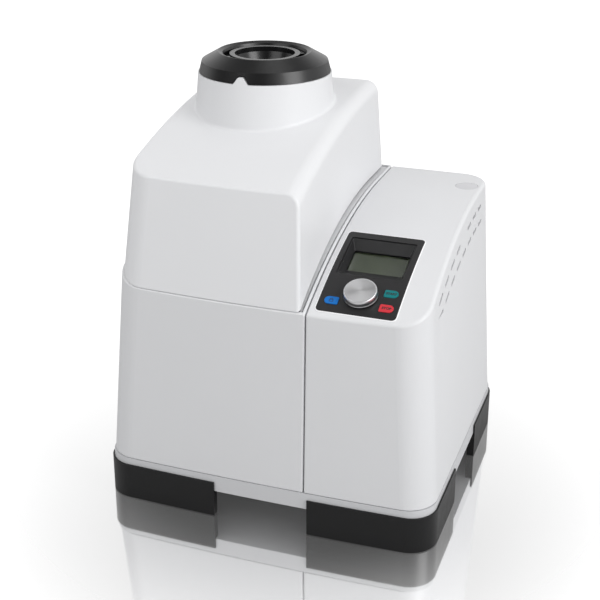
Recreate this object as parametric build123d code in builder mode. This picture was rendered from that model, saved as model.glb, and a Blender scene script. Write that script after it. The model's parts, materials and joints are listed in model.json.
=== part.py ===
"""Ultra centrifugal mill: a hinged grinding column on the left, electronics and controls on the right.

Frame: origin at the middle of the footprint on the floor, X to the right, Y to the rear, Z up, millimetres.
"""
import math
import os

from build123d import *

# Overall size and the floor plan
width = 410.0
depth = 365.0
height = 515.0
front_bow = 4.4
casing_corner_radius = 36.0
seam_x = 53.0
seam_gap = 1.4
seam_edge_radius = 2.0
bead_radius = 1.3

# Base and feet
foot_height = 45.7
foot_wall = 2.0
foot_block = 9.0
foot_corner_radius = 34.0
foot_front_end = 58.0
foot_side_end = 55.0
foot_floor_gap = 1.0
pad_radius = 14.0
pad_inset = 28.0
pad_pocket = 2.0
pad_chamfer = 1.0
gusset = 46.0
gusset_bottom = 5.0
floor_slot_count = 10
floor_slot_circle = 40.0
floor_slot_length = 30.0
floor_slot_width = 6.0
skirt_bottom = 33.5
skirt_top = 53.8
skirt_inset = 2.3
skirt_wall = 5.0
lip_height = 7.0
base_wall = 3.5
base_floor = 3.0
small_gap = 0.3
face_gap = 0.2
overrun = 1.0

# Casing walls: inset from the footprint at two levels
casing_bottom = 55.0
casing_high = 380.0
casing_wall = 3.0
left_inset_low = 2.6
left_inset_high = 27.9
right_inset_low = 2.6
right_inset_high = 23.1
front_inset_low = 2.6
front_inset_high = 12.2
back_inset = 5.0

# Sloping top of the casings: a level rear and an arc towards the front
top_level = 343.5
top_arc_inset = 72.5
top_arc_radius = 625.0
top_edge_radius = 4.5
arc_overrun = 20.0
rim_gap = 1.2

# Lid
lid_low = 270.0
lid_high_rise = 21.0
lid_left_inset_low = 21.7
lid_left_inset_high = 31.5
lid_seam_inset_low = 6.1
lid_seam_inset_high = 21.2
lid_front_inset_low = 8.7
lid_front_inset_high = 50.5
lid_back_inset_low = 10.3
lid_back_inset_high = 14.5
lid_top_arc_inset = 12.5
lid_top_arc_radius = 943.0
lid_wall = 3.0
lid_left_corner_radius = 36.0
lid_soft_edge_radius = 16.0
lid_edge_radius = 4.5

# Grinding axis, collar and feed ring
axis_rear_distance = 135.1
collar_rise = 30.9
collar_sink = 59.0
collar_top_radius = 81.5
collar_low_radius = 89.6
collar_root_radius = 4.0
collar_rim_width = 9.0
notch_foot_width = 21.0
notch_head_width = 7.0
notch_height = 9.5
notch_gap = 1.2
bump_lean = 0.8
ring_height = 24.6
ring_seat_gap = 0.5
ring_bottom_radius = 80.4
ring_edge_drop = 11.4
ring_edge_radius = 77.0
ring_ridge_radius = 57.0
ring_ridge_rounding = 1.2
ring_lip_radius = 51.5
ring_lip_drop = 2.2
ring_wall = 3.0
insert_radius = 50.0
insert_seat_drop = 18.0
insert_flange = 6.0
insert_top_drop = 3.5
insert_rim_radius = 43.0
insert_wall = 3.0
insert_clearance = 0.4
seat_radius = 46.0
feed_bore_radius = 36.7
feed_bore_length = 6.0
feed_neck_radius = 15.0
feed_neck_drop = 63.0
feed_neck_length = 8.0
feed_tube_gap = 2.0
feed_tube_bottom = 300.0
feed_tube_radius = 20.5
feed_tube_wall = 2.0
feed_tube_flange = 30.0
lug_count = 4
lug_angle = 34.0
lug_first_turn = 28.0
lug_height = 5.5
ring_lift = 40.0

# Hinge of the lid
hinge_sink = 0.1
hinge_rise = 5.5
hinge_eye_radius = 4.8
hinge_pin_radius = 2.5
hinge_clearance = 0.05
hinge_span = 62.0
hinge_eye_length = 14.0
hinge_leaf = 2.4
hinge_leaf_drop = 37.0
hinge_arm_rise = 35.0
hinge_pin_end = 1.5

# Grinding chamber and motor
deck_level = 246.0
deck_thickness = 6.0
motor_radius = 66.0
motor_wall = 6.0
motor_bottom = 62.0
motor_flange_thickness = 9.0
motor_flange_radius = 84.0
spigot_radius = 40.0
upper_bearing_low = 222.0
fin_count = 20
fin_length = 8.0
fin_thickness = 3.0
fin_margin = 12.0
shaft_radius = 9.0
bearing_radius = 22.0
bearing_height = 12.0
running_clearance = 0.05
core_lift = 36.0
core_radius = 33.0
stator_inner_radius = 33.8
stator_height = 96.0
winding_overhang = 8.0
winding_margin = 5.0
pan_radius = 92.0
pan_wall = 2.0
pan_height = 46.0
pan_neck_radius = 33.0
pan_neck_height = 18.0
pan_bevel = 4.0
sieve_margin = 3.0
labyrinth_radius = 30.0
labyrinth_plate = 3.0
labyrinth_step = 4.5
labyrinth_ridge = 8.0
labyrinth_hub = 10.0
rotor_radius = 49.5
rotor_height = 24.8
rotor_teeth = 12
rotor_disc = 4.0
rotor_hub_radius = 16.0
rotor_hub_drop = 2.0
tooth_width = 11.0
tooth_depth = 8.0
tooth_angle = 64.0
tooth_inset = 4.5
shaft_cover = 6.0
rotor_low = 272.8
sieve_radius = 52.0
sieve_wall = 1.0
sieve_hole_radius = 2.0
sieve_columns = 30
sieve_rows = 3
cover_thickness = 4.0
cover_hole_radius = 30.0
cover_overhang = 1.0
liner_level = 330.0
liner_thickness = 3.0
liner_margin = 3.5
liner_post_radius = 6.0
liner_post_shift_x = 10.0
liner_post_shift_y = 27.4
liner_post_span_x = 180.0
liner_post_span_y = 250.0
seal_radius = 66.0
seal_width = 8.0
seal_height = 4.5
post_radius = 7.0
post_left_inset = 38.0
post_seam_inset = 26.3
post_front_inset = 72.5
post_rear_inset = 52.5
screw_head_radius = 5.0
screw_head_height = 4.0
striker_width = 14.0
striker_inset = 19.0
striker_thickness = 4.0
striker_room = 1.5
striker_bottom = 262.0
striker_eye_gap = 0.6
bolt_radius = 4.0
bolt_level = 270.0
bolt_length = 34.0
bolt_travel = 12.0
bolt_chamfer = 1.0
lock_side = 16.0
lock_front_inset = 32.5
lock_length = 32.0
lock_wall = 4.0
lock_floor_gap = 2.0
lock_edge_radius = 2.0
lock_motor_length = 36.0
lock_motor_half = 12.0
lid_switch_shift = 32.0
lid_switch_width = 12.0
lid_switch_length = 20.0
lid_switch_height = 16.0
lid_switch_edge_radius = 1.5
plunger_radius = 3.0
plunger_rise = 3.0

# Control panel on the sloping top of the right casing
panel_seam_inset = 8.0
panel_front_inset = 17.5
panel_width = 91.5
panel_length = 129.0
panel_thickness = 2.4
panel_proud = 0.5
panel_corner_radius = 5.0
panel_ledge = 4.0
recess_left_inset = 6.5
recess_right_inset = 7.0
recess_rear_inset = 10.5
recess_front_inset = 54.0
recess_depth = 12.0
lcd_width = 64.0
lcd_height = 35.0
lcd_shift = 2.6
lcd_thickness = 5.0
lcd_margin = 1.0
window_margin = 3.0
module_margin = 4.0
glass_thickness = 1.2
frame_wall = 1.5
frame_flange = 2.0
frame_floor = 2.0
frame_drop = 1.9
knob_inset_x = 45.5
knob_inset_y = 25.5
knob_radius = 19.0
knob_height = 9.0
knob_lift = 1.6
knob_travel = 1.0
knob_taper = 2.0
knob_edge_radius = 1.2
knob_bore_depth = 6.0
knob_bush_radius = 5.0
knob_bush_drop = 1.0
spindle_radius = 3.0
key_width = 16.0
key_height = 11.0
key_gap = 0.3
key_travel = 0.6
key_proud = 0.5
key_corner_radius = 1.6
key_edge_radius = 0.4
key_flange = 1.0
board_drop = 8.6
key_board_width = 80.0
key_board_length = 44.0
tact_size = 6.0
stud_radius = 2.5
stud_span = 30.0
encoder_size = 13.0
encoder_height = 5.2
encoder_floor = 0.6
lock_key_inset_x = 14.5
lock_key_inset_y = 15.4
start_key_inset_x = 77.5
start_key_inset_y = 34.3
stop_key_inset_y = 14.2

# Vent slots of the right casing
slot_count = 8
slot_pitch = 29.9
slot_rear_inset = 76.5
slot_length = 20.0
slot_height = 4.4
slot_row_drop = 20.5
slot_row_pitch = 19.5
slot_cut_depth = 60.0

# Cap and stand socket
cap_side_inset = 40.5
cap_rear_inset = 58.5
cap_radius = 14.0
cap_thickness = 2.0
cap_edge_radius = 0.5
socket_depth = 60.0
socket_wall = 3.0
cap_plug_length = 8.0

# Electronics and rear panel
rear_panel_x = 104.0
rear_panel_width = 88.0
rear_panel_low = 70.0
rear_panel_height = 215.0
rear_panel_lap = 5.0
rear_panel_thickness = 1.6
fan_size = 80.0
fan_depth = 25.0
fan_level = 222.0
fan_bore_radius = 37.0
fan_hub_radius = 15.0
fan_blades = 7
guard_bar = 3.0
guard_step = 9.0
fan_blade_pitch = 35.0
fan_blade_thickness = 1.6
fan_blade_gap = 0.5
fan_rotor_gap = 1.0
fan_tip_gap = 1.5
fan_corner_radius = 4.0
inlet_x = 84.0
inlet_level = 108.0
inlet_width = 28.0
inlet_height = 24.0
inlet_depth = 20.0
inlet_flange = 3.0
inlet_side_wall = 2.0
inlet_top_wall = 3.5
inlet_corner_radius = 3.0
inlet_pin_length = 9.0
inlet_pin_width = 2.0
inlet_pin_height = 4.0
inlet_pin_spread = 7.0
inlet_pin_offset = 2.0
switch_x = 125.0
switch_level = 126.0
rocker_width = 14.0
rocker_height = 20.0
rocker_thickness = 6.0
rocker_tilt = 7.0
rocker_room = 1.6
rocker_sink = 1.0
drawer_width = 20.0
drawer_height = 10.0
drawer_depth = 16.0
drawer_drop = 34.0
drawer_proud = 1.0
drawer_wall = 2.5
rocker_edge_radius = 1.0
frame_border = 5.0
converter_width = 100.0
converter_depth = 150.0
converter_height = 90.0
converter_shift = 8.85
converter_front_inset = 52.5
converter_edge_radius = 3.0
grille_columns = 6
grille_rows = 3
grille_pitch_x = 14.0
grille_pitch_z = 12.0
grille_hole_width = 9.0
grille_hole_height = 6.0
grille_depth = 6.0
sink_fin_count = 12
sink_fin_height = 26.0
sink_base = 5.0
sink_fin_thickness = 2.0
power_front_inset = 62.5
power_length = 140.0
power_low = 175.0
power_height = 90.0
power_stand = 6.0
power_stud_inset = 6.0
capacitor_radius = 11.0
capacitor_length = 26.0
capacitor_inset = 26.0
capacitor_spread = 34.0
choke_width = 34.0
choke_height = 38.0
choke_inset = 70.0
terminal_width = 16.0
terminal_height = 60.0
terminal_rear_inset = 28.0
component_depth = 20.0
board_thickness = 1.6

os.makedirs("parts", exist_ok=True)

# Places on the plan that follow from the driving sizes
left_edge = seam_x - seam_gap / 2
right_edge = seam_x + seam_gap / 2
left_side_inner = left_edge - casing_wall
right_side_inner = right_edge + casing_wall
back_face = depth / 2 - back_inset
back_inner = back_face - casing_wall
axis_x = (seam_x - width / 2) / 2
axis_y = depth / 2 - axis_rear_distance
top_arc_start = depth / 2 - top_arc_inset
lid_top_arc_start = depth / 2 - lid_top_arc_inset
hinge_y = back_face - hinge_sink
striker_x = axis_x
lock_front = -depth / 2 + lock_front_inset
lock_rear = lock_front + lock_length
striker_y = lock_front + striker_inset
lid_switch_x = striker_x + lid_switch_shift
panel_left = seam_x + panel_seam_inset
panel_right = panel_left + panel_width
panel_front = -depth / 2 + panel_front_inset
panel_rear = panel_front + panel_length
recess_left = panel_left + recess_left_inset
recess_right = panel_right - recess_right_inset
recess_front = panel_front + recess_front_inset
recess_rear = panel_rear - recess_rear_inset
knob_x = panel_left + knob_inset_x
knob_y = panel_front + knob_inset_y
lock_key_x = panel_left + lock_key_inset_x
lock_key_y = panel_front + lock_key_inset_y
start_key_x = panel_left + start_key_inset_x
start_key_y = panel_front + start_key_inset_y
stop_key_y = panel_front + stop_key_inset_y
slot_first_y = depth / 2 - slot_rear_inset
cap_x = width / 2 - cap_side_inset
cap_y = depth / 2 - cap_rear_inset
converter_x = (right_side_inner + width / 2) / 2 - converter_shift
converter_front = -depth / 2 + converter_front_inset
power_front = -depth / 2 + power_front_inset

# Levels that follow from the driving sizes
ring_bottom = height - ring_height
ring_edge_level = height - ring_edge_drop
insert_seat = height - insert_seat_drop
insert_top = height - insert_top_drop
feed_neck_level = height - feed_neck_drop
feed_tube_top = feed_neck_level - feed_tube_gap
collar_top = ring_bottom - ring_seat_gap
lid_top_level = collar_top - collar_rise
lid_high = lid_top_level + lid_high_rise
collar_low = lid_top_level - collar_sink
hinge_z = top_level + hinge_rise
floor_top = skirt_bottom + base_floor
deck_top = deck_level + deck_thickness
lip_top = casing_bottom + lip_height
foot_inner_top = skirt_bottom - face_gap


def between(low, high, share):
    """The value a share of the way from low to high."""
    return low + (high - low) * share


def top_height(y):
    """Height of the casings' sloping top at a place along Y."""
    ahead = max(0.0, top_arc_start - y)
    return top_level - top_arc_radius + math.sqrt(top_arc_radius**2 - ahead**2)


def plan_outline(left, right, front, back, bow):
    """Floor plan of a body with a slightly bowed front, as lines in the current sketch."""
    middle = (left + right) / 2
    Polyline((right, front), (right, back), (left, back), (left, front))
    ThreePointArc((left, front), (middle, front - bow), (right, front))


def casing_plan(level, inner):
    """Sketch of both casings' outline at a level, drawn inwards by inner."""
    share = (level - casing_bottom) / (casing_high - casing_bottom)
    left = -width / 2 + between(left_inset_low, left_inset_high, share) + inner
    right = width / 2 - between(right_inset_low, right_inset_high, share) - inner
    front = -depth / 2 + front_bow + between(front_inset_low, front_inset_high, share) + inner
    back = depth / 2 - back_inset - inner
    with BuildSketch(Plane.XY.offset(level)) as plan:
        with BuildLine():
            plan_outline(left, right, front, back, front_bow)
        make_face()
    return plan.sketch


def casing_block(inner, low):
    """Both casings as one tapering solid from a low level up, drawn inwards by inner."""
    with BuildPart() as block:
        loft([casing_plan(low, inner).face(), casing_plan(casing_high, inner).face()], ruled=True)
        upright = block.edges().filter_by(lambda edge: edge.bounding_box().size.Z > casing_high - low - 1)
        fillet(upright, radius=casing_corner_radius - inner)
    return block.part


def under_arc(level, start, radius, left, right, low):
    """Everything between two X places, under a profile that is level behind start and an arc in front."""
    centre = level - radius
    end_y = -depth / 2 - arc_overrun
    end_z = centre + math.sqrt(radius**2 - (start - end_y) ** 2)
    turn = math.asin((start - end_y) / radius) / 2
    arc_middle = (start - radius * math.sin(turn), centre + radius * math.cos(turn))
    with BuildPart() as under:
        with BuildSketch(Plane.YZ.offset(left)):
            with BuildLine():
                Polyline(
                    (start, level),
                    (depth, level),
                    (depth, low),
                    (-depth, low),
                    (-depth, end_z),
                    (end_y, end_z),
                )
                ThreePointArc((end_y, end_z), arc_middle, (start, level))
            make_face()
        extrude(amount=right - left)
    return under.part


def under_top(drop, left, right, low):
    """Everything between two X places, from a low level to the sloping top less a drop."""
    return under_arc(top_level - drop, top_arc_start, top_arc_radius - drop, left, right, low)


def arc_angle(y):
    """Slope angle of the sloping top at a place along Y, in degrees."""
    return math.degrees(math.asin((top_arc_start - y) / top_arc_radius))


def slope_plane(x, y):
    """Plane lying on the sloping top at a place, its z axis straight out of the surface."""
    angle = math.radians(arc_angle(y))
    return Plane(
        origin=(x, y, top_height(y)),
        x_dir=(1, 0, 0),
        z_dir=(0, -math.sin(angle), math.cos(angle)),
    )


def arc_point(angle, reach):
    """Point in the YZ plane at an angle from the rear end of the top arc, at a reach from its centre."""
    turn = math.radians(angle)
    return (
        top_arc_start - reach * math.sin(turn),
        top_level - top_arc_radius + reach * math.cos(turn),
    )


def curved_slab(left, right, rear, front, low, high, corner):
    """Plate that follows the sloping top, between two offsets from it, with rounded corners."""
    rear_angle = arc_angle(rear)
    front_angle = arc_angle(front)
    middle = (rear_angle + front_angle) / 2
    inside = top_arc_radius + low
    outside = top_arc_radius + high
    with BuildPart() as slab:
        with BuildSketch(Plane.YZ.offset(left)):
            with BuildLine():
                ThreePointArc(
                    arc_point(rear_angle, outside),
                    arc_point(middle, outside),
                    arc_point(front_angle, outside),
                )
                Line(arc_point(front_angle, outside), arc_point(front_angle, inside))
                ThreePointArc(
                    arc_point(front_angle, inside),
                    arc_point(middle, inside),
                    arc_point(rear_angle, inside),
                )
                Line(arc_point(rear_angle, inside), arc_point(rear_angle, outside))
            make_face()
        extrude(amount=right - left)
        short = slab.edges().filter_by(lambda edge: abs(edge.length - (high - low)) < 0.01)
        fillet(short, radius=corner)
    return slab.part


def footprint(inner, low, high):
    """Upright block over the floor plan, drawn inwards by inner, between two levels."""
    with BuildPart() as block:
        with BuildSketch(Plane.XY.offset(low)):
            with BuildLine():
                plan_outline(
                    -width / 2 + inner,
                    width / 2 - inner,
                    -depth / 2 + front_bow + inner,
                    depth / 2 - inner,
                    front_bow,
                )
            make_face()
        extrude(amount=high - low)
        fillet(block.edges().filter_by(Axis.Z), radius=foot_corner_radius - inner)
    return block.part


def slab_box(low_corner, high_corner):
    """Box between two opposite corners."""
    middle = [(a + b) / 2 for a, b in zip(low_corner, high_corner)]
    size = [b - a for a, b in zip(low_corner, high_corner)]
    return Pos(*middle) * Box(*size, mode=Mode.PRIVATE)


def tube(outer, bore, low, high):
    """Upright tube on the grinding axis."""
    with BuildPart() as ring:
        with BuildSketch(Plane.XY.offset(low)):
            with Locations((axis_x, axis_y)):
                Circle(outer)
                if bore > 0:
                    Circle(bore, mode=Mode.SUBTRACT)
        extrude(amount=high - low)
    return ring.part


def turned(points):
    """Solid of revolution about the grinding axis, from (radius, level) points."""
    with BuildPart() as body:
        with BuildSketch(Plane.XZ.offset(-axis_y)):
            with BuildLine():
                Polyline([(axis_x + radius, level) for radius, level in points], close=True)
            make_face()
        revolve(axis=Axis((axis_x, axis_y, 0), (0, 0, 1)))
    return body.part


# Base frame: floor, skirt and the upright lip that the casings slip over
lip_outer = casing_wall + small_gap
lip_block = casing_block(lip_outer, floor_top) & slab_box((-width, -depth, 0), (width, depth, lip_top))
lip_hollow = casing_block(lip_outer + base_wall, floor_top)
slot_left = left_side_inner - overrun
slot_right = right_side_inner + overrun
seam_slot = slab_box((slot_left, -depth, skirt_top), (slot_right, depth, top_level))
with BuildPart() as base_frame:
    add(footprint(skirt_inset, skirt_bottom, skirt_top))
    add(footprint(skirt_inset + skirt_wall, floor_top, top_level), mode=Mode.SUBTRACT)
    add(lip_block)
    add(lip_hollow, mode=Mode.SUBTRACT)
    add(seam_slot, mode=Mode.SUBTRACT)
    with BuildSketch(Plane.XY.offset(skirt_bottom)):
        with Locations((axis_x, axis_y)):
            with PolarLocations(floor_slot_circle, floor_slot_count):
                SlotOverall(floor_slot_length, floor_slot_width)
    extrude(amount=base_floor, mode=Mode.SUBTRACT)
base_frame.part.label = "base_frame"
export_step(base_frame.part, "parts/base_frame.step")


# Four corner feet, each an L-shaped wall with a corner block that carries a rubber pad
def corner_foot(side, end):
    """Foot under one corner: side is -1 for left, end is -1 for the front."""
    x_low, x_high = sorted((side * foot_front_end, side * width))
    y_low, y_high = sorted((end * foot_side_end, end * depth))
    corner_box = slab_box((x_low, y_low, 0), (x_high, y_high, foot_height))
    gusset_x = sorted((side * (width / 2 - gusset), side * width))
    gusset_y = sorted((end * (depth / 2 - gusset), end * depth))
    gusset_box = slab_box(
        (gusset_x[0], gusset_y[0], gusset_bottom),
        (gusset_x[1], gusset_y[1], foot_inner_top),
    )
    with BuildPart() as foot:
        add(footprint(0, foot_floor_gap, foot_height))
        add(footprint(foot_wall, foot_inner_top, foot_height + overrun), mode=Mode.SUBTRACT)
        add(footprint(foot_block, 0, foot_inner_top), mode=Mode.SUBTRACT)
        add(corner_box, mode=Mode.INTERSECT)
        add(footprint(foot_wall, 0, foot_inner_top) & gusset_box)
        with BuildSketch(Plane.XY.offset(gusset_bottom)):
            with Locations((side * (width / 2 - pad_inset), end * (depth / 2 - pad_inset))):
                Circle(pad_radius + small_gap)
        extrude(amount=pad_pocket, mode=Mode.SUBTRACT)
        with BuildSketch(Plane.XY.offset(0)):
            with Locations((side * (width / 2 - pad_inset), end * (depth / 2 - pad_inset))):
                Circle(pad_radius + small_gap)
        extrude(amount=gusset_bottom, mode=Mode.SUBTRACT)
    return foot.part


foot_front_left = corner_foot(-1, -1)
foot_front_left.label = "foot_front_left"
export_step(foot_front_left, "parts/foot_front_left.step")
foot_front_right = corner_foot(1, -1)
foot_front_right.label = "foot_front_right"
export_step(foot_front_right, "parts/foot_front_right.step")
foot_rear_left = corner_foot(-1, 1)
foot_rear_left.label = "foot_rear_left"
export_step(foot_rear_left, "parts/foot_rear_left.step")
foot_rear_right = corner_foot(1, 1)
foot_rear_right.label = "foot_rear_right"
export_step(foot_rear_right, "parts/foot_rear_right.step")

with BuildPart() as foot_pads:
    with BuildSketch():
        with GridLocations(width - 2 * pad_inset, depth - 2 * pad_inset, 2, 2):
            Circle(pad_radius)
    extrude(amount=gusset_bottom + pad_pocket - face_gap)
    chamfer(foot_pads.edges().group_by(Axis.Z)[0], length=pad_chamfer)
foot_pads.part.label = "foot_pads"
export_step(foot_pads.part, "parts/foot_pads.step")


def seam_uprights(casing, seam_face):
    """The uprights where a casing's seam wall meets its front and its rear."""
    return [
        edge
        for edge in casing.edges().filter_by(lambda edge: edge.bounding_box().size.Z > casing_bottom)
        if abs(edge.center().X - seam_face) < small_gap
    ]


def rim_edges(casing, left, right):
    """Edges between two X places that follow the sloping top, apart from the line where its arc begins."""
    return [
        edge
        for edge in casing.edges()
        if left < edge.center().X < right
        and edge.center().Z > 2 * casing_bottom
        and abs(edge.center().Z - top_height(edge.center().Y)) < top_edge_radius
        and abs(edge.center().Y - top_arc_start) > small_gap
    ]


# Left casing: an open tube whose rim follows the sloping top
outer_block = casing_block(0, casing_bottom)
inner_block = casing_block(casing_wall, casing_bottom - overrun)
with BuildPart() as left_casing:
    add(outer_block)
    add(under_top(0, -width, left_edge, 0), mode=Mode.INTERSECT)
    fillet(rim_edges(left_casing, -width, left_edge - small_gap), radius=bead_radius)
    fillet(seam_uprights(left_casing, left_edge), radius=seam_edge_radius)
    left_hollow = inner_block & slab_box((-width, -depth, 0), (left_side_inner, depth, height))
    add(left_hollow, mode=Mode.SUBTRACT)
left_casing.part.label = "left_casing"
export_step(left_casing.part, "parts/left_casing.step")

# Right casing: closed top with a window for the panel, vents, the cap's hole and a rear opening
with BuildPart() as right_casing:
    add(outer_block)
    add(under_top(0, right_edge, width, 0), mode=Mode.INTERSECT)
    top_rim = rim_edges(right_casing, right_edge + 2 * seam_edge_radius, width)
    fillet(top_rim, radius=top_edge_radius)
    seam_rim = [
        edge
        for edge in right_casing.edges()
        if abs(edge.center().X - right_edge) < small_gap and edge.center().Z > casing_bottom + overrun
    ]
    fillet(seam_rim, radius=seam_edge_radius)
    right_hollow = inner_block & under_top(casing_wall, right_side_inner, width, 0)
    add(right_hollow, mode=Mode.SUBTRACT)
    # Seat for the control panel and the window behind it
    panel_seat = curved_slab(
        panel_left - face_gap,
        panel_right + face_gap,
        panel_rear + face_gap,
        panel_front - face_gap,
        panel_proud - panel_thickness - face_gap,
        panel_thickness,
        panel_corner_radius + face_gap,
    )
    panel_window = curved_slab(
        panel_left + panel_ledge,
        panel_right - panel_ledge,
        panel_rear - panel_ledge,
        panel_front + panel_ledge,
        -2 * casing_wall,
        panel_thickness,
        panel_corner_radius,
    )
    add(panel_seat, mode=Mode.SUBTRACT)
    add(panel_window, mode=Mode.SUBTRACT)
    # Two rows of vent slots along the right wall
    for row in range(2):
        for slot in range(slot_count):
            slot_y = slot_first_y - slot * slot_pitch
            slot_z = top_height(slot_y) - slot_row_drop - row * slot_row_pitch
            slot_angle = math.radians(max(0.0, arc_angle(slot_y)))
            along = (0, math.cos(slot_angle), math.sin(slot_angle))
            with BuildSketch(Plane((width / 2, slot_y, slot_z), x_dir=along, z_dir=(-1, 0, 0))):
                SlotOverall(slot_length, slot_height)
            extrude(amount=slot_cut_depth, mode=Mode.SUBTRACT)
    with BuildSketch(Plane.XY.offset(top_level + overrun)):
        with Locations((cap_x, cap_y)):
            Circle(cap_radius + small_gap)
    extrude(amount=-2 * casing_wall, mode=Mode.SUBTRACT)
    with BuildSketch(Plane.XZ.offset(-back_face - overrun)):
        with Locations((rear_panel_x, rear_panel_low + rear_panel_height / 2)):
            RectangleRounded(
                rear_panel_width - 2 * rear_panel_lap,
                rear_panel_height - 2 * rear_panel_lap,
                rear_panel_lap,
            )
    extrude(amount=2 * casing_wall, mode=Mode.SUBTRACT)
right_casing.part.label = "right_casing"
export_step(right_casing.part, "parts/right_casing.step")

# Mill deck with its four posts
inside_fit = casing_block(casing_wall + small_gap, casing_bottom - overrun)
post_middle_x = (post_left_inset - width / 2 + left_side_inner - post_seam_inset) / 2
post_middle_y = (post_front_inset - post_rear_inset) / 2
post_span_x = left_side_inner - post_seam_inset - post_left_inset + width / 2
post_span_y = depth - post_front_inset - post_rear_inset
deck_slab = slab_box((-width, -depth, deck_level), (left_side_inner - small_gap, depth, deck_top))
with BuildPart() as mill_deck:
    add(inside_fit & deck_slab)
    with BuildSketch(Plane.XY.offset(deck_level)):
        with Locations((axis_x, axis_y)):
            Circle(spigot_radius + small_gap)
    extrude(amount=deck_thickness, mode=Mode.SUBTRACT)
mill_deck.part.label = "mill_deck"
export_step(mill_deck.part, "parts/mill_deck.step")

with BuildPart() as deck_posts:
    with BuildSketch(Plane.XY.offset(floor_top + face_gap)):
        with Locations((post_middle_x, post_middle_y)):
            with GridLocations(post_span_x, post_span_y, 2, 2):
                Circle(post_radius)
    extrude(amount=deck_level - floor_top - 2 * face_gap)
deck_posts.part.label = "deck_posts"
export_step(deck_posts.part, "parts/deck_posts.step")

with BuildPart() as deck_screws:
    with BuildSketch(Plane.XY.offset(deck_top + face_gap)):
        with Locations((post_middle_x, post_middle_y)):
            with GridLocations(post_span_x, post_span_y, 2, 2):
                Circle(screw_head_radius)
    extrude(amount=screw_head_height)
    with BuildSketch(Plane.XY.offset(deck_top + face_gap + screw_head_height)):
        with Locations((post_middle_x, post_middle_y)):
            with GridLocations(post_span_x, post_span_y, 2, 2):
                RegularPolygon(screw_head_radius / 2, 6)
    extrude(amount=-screw_head_height / 2, mode=Mode.SUBTRACT)
deck_screws.part.label = "deck_screws"
export_step(deck_screws.part, "parts/deck_screws.step")

# Motor: finned housing, stator, flange with the upper bearing seat, bearings, shaft and core
flange_low = deck_level - motor_flange_thickness
motor_top = flange_low - face_gap
motor_floor = motor_bottom + motor_wall
core_bottom = motor_bottom + core_lift
with BuildPart() as motor_housing:
    add(tube(motor_radius, motor_radius - motor_wall, motor_bottom, motor_top))
    add(tube(motor_radius - overrun, 0, motor_bottom, motor_floor))
    add(tube(bearing_radius + motor_wall, 0, motor_bottom, motor_floor + bearing_height))
    add(tube(bearing_radius + running_clearance, 0, motor_floor, core_bottom), mode=Mode.SUBTRACT)
    with BuildSketch(Plane.XY.offset(motor_floor)):
        with Locations((axis_x, axis_y)):
            with PolarLocations(motor_radius - overrun + fin_length / 2, fin_count):
                Rectangle(fin_length + overrun, fin_thickness)
    extrude(amount=motor_top - motor_floor - fin_margin)
motor_housing.part.label = "motor_housing"
export_step(motor_housing.part, "parts/motor_housing.step")

with BuildPart() as motor_stator:
    stator_outer = motor_radius - motor_wall - small_gap
    add(tube(stator_outer, stator_inner_radius, core_bottom, core_bottom + stator_height))
    with BuildSketch(Plane.XY.offset(core_bottom)):
        with Locations((axis_x, axis_y)):
            Circle(stator_outer - winding_margin)
            Circle(stator_inner_radius + winding_margin, mode=Mode.SUBTRACT)
    extrude(amount=stator_height + winding_overhang)
motor_stator.part.label = "motor_stator"
export_step(motor_stator.part, "parts/motor_stator.step")

with BuildPart() as motor_flange:
    seat_low = upper_bearing_low - overrun
    seat_top = upper_bearing_low + bearing_height + face_gap
    add(tube(motor_flange_radius, 0, flange_low, deck_level - face_gap))
    add(tube(spigot_radius, 0, flange_low, deck_top))
    add(tube(bearing_radius + motor_wall, 0, seat_low, flange_low + overrun))
    add(tube(bearing_radius + running_clearance, 0, seat_low, seat_top), mode=Mode.SUBTRACT)
    add(tube(shaft_radius + overrun, 0, upper_bearing_low, deck_top), mode=Mode.SUBTRACT)
motor_flange.part.label = "motor_flange"
export_step(motor_flange.part, "parts/motor_flange.step")

lower_bearing_low = motor_floor + face_gap
with BuildPart() as motor_bearings:
    for low in (lower_bearing_low, upper_bearing_low):
        add(tube(bearing_radius, shaft_radius + running_clearance, low, low + bearing_height - 2 * face_gap))
motor_bearings.part.label = "motor_bearings"
export_step(motor_bearings.part, "parts/motor_bearings.step")

shaft_top = rotor_low + rotor_height - shaft_cover
with BuildPart() as motor_shaft:
    add(tube(shaft_radius, 0, lower_bearing_low + face_gap, shaft_top))
    chamfer(motor_shaft.edges().group_by(Axis.Z)[-1], length=overrun)
motor_shaft.part.label = "motor_shaft"
export_step(motor_shaft.part, "parts/motor_shaft.step")

with BuildPart() as motor_core:
    add(tube(core_radius, shaft_radius + running_clearance, core_bottom, core_bottom + stator_height))
motor_core.part.label = "motor_core"
export_step(motor_core.part, "parts/motor_core.step")

# Grinding set on the deck: labyrinth disc, cassette pan, ring sieve, rotor and cassette cover
pan_low = deck_top + small_gap
ridge_outer = labyrinth_radius - labyrinth_step
ridge_inner = ridge_outer - labyrinth_step
hub_outer = ridge_inner - labyrinth_step
with BuildPart() as labyrinth_disc:
    add(
        turned(
            [
                (shaft_radius + overrun, pan_low),
                (labyrinth_radius, pan_low),
                (labyrinth_radius, pan_low + labyrinth_plate),
                (ridge_outer, pan_low + labyrinth_plate),
                (ridge_outer, pan_low + labyrinth_ridge),
                (ridge_inner, pan_low + labyrinth_ridge),
                (ridge_inner, pan_low + labyrinth_plate),
                (hub_outer, pan_low + labyrinth_plate),
                (hub_outer, pan_low + labyrinth_hub),
                (shaft_radius + overrun, pan_low + labyrinth_hub),
            ]
        )
    )
labyrinth_disc.part.label = "labyrinth_disc"
export_step(labyrinth_disc.part, "parts/labyrinth_disc.step")

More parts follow.
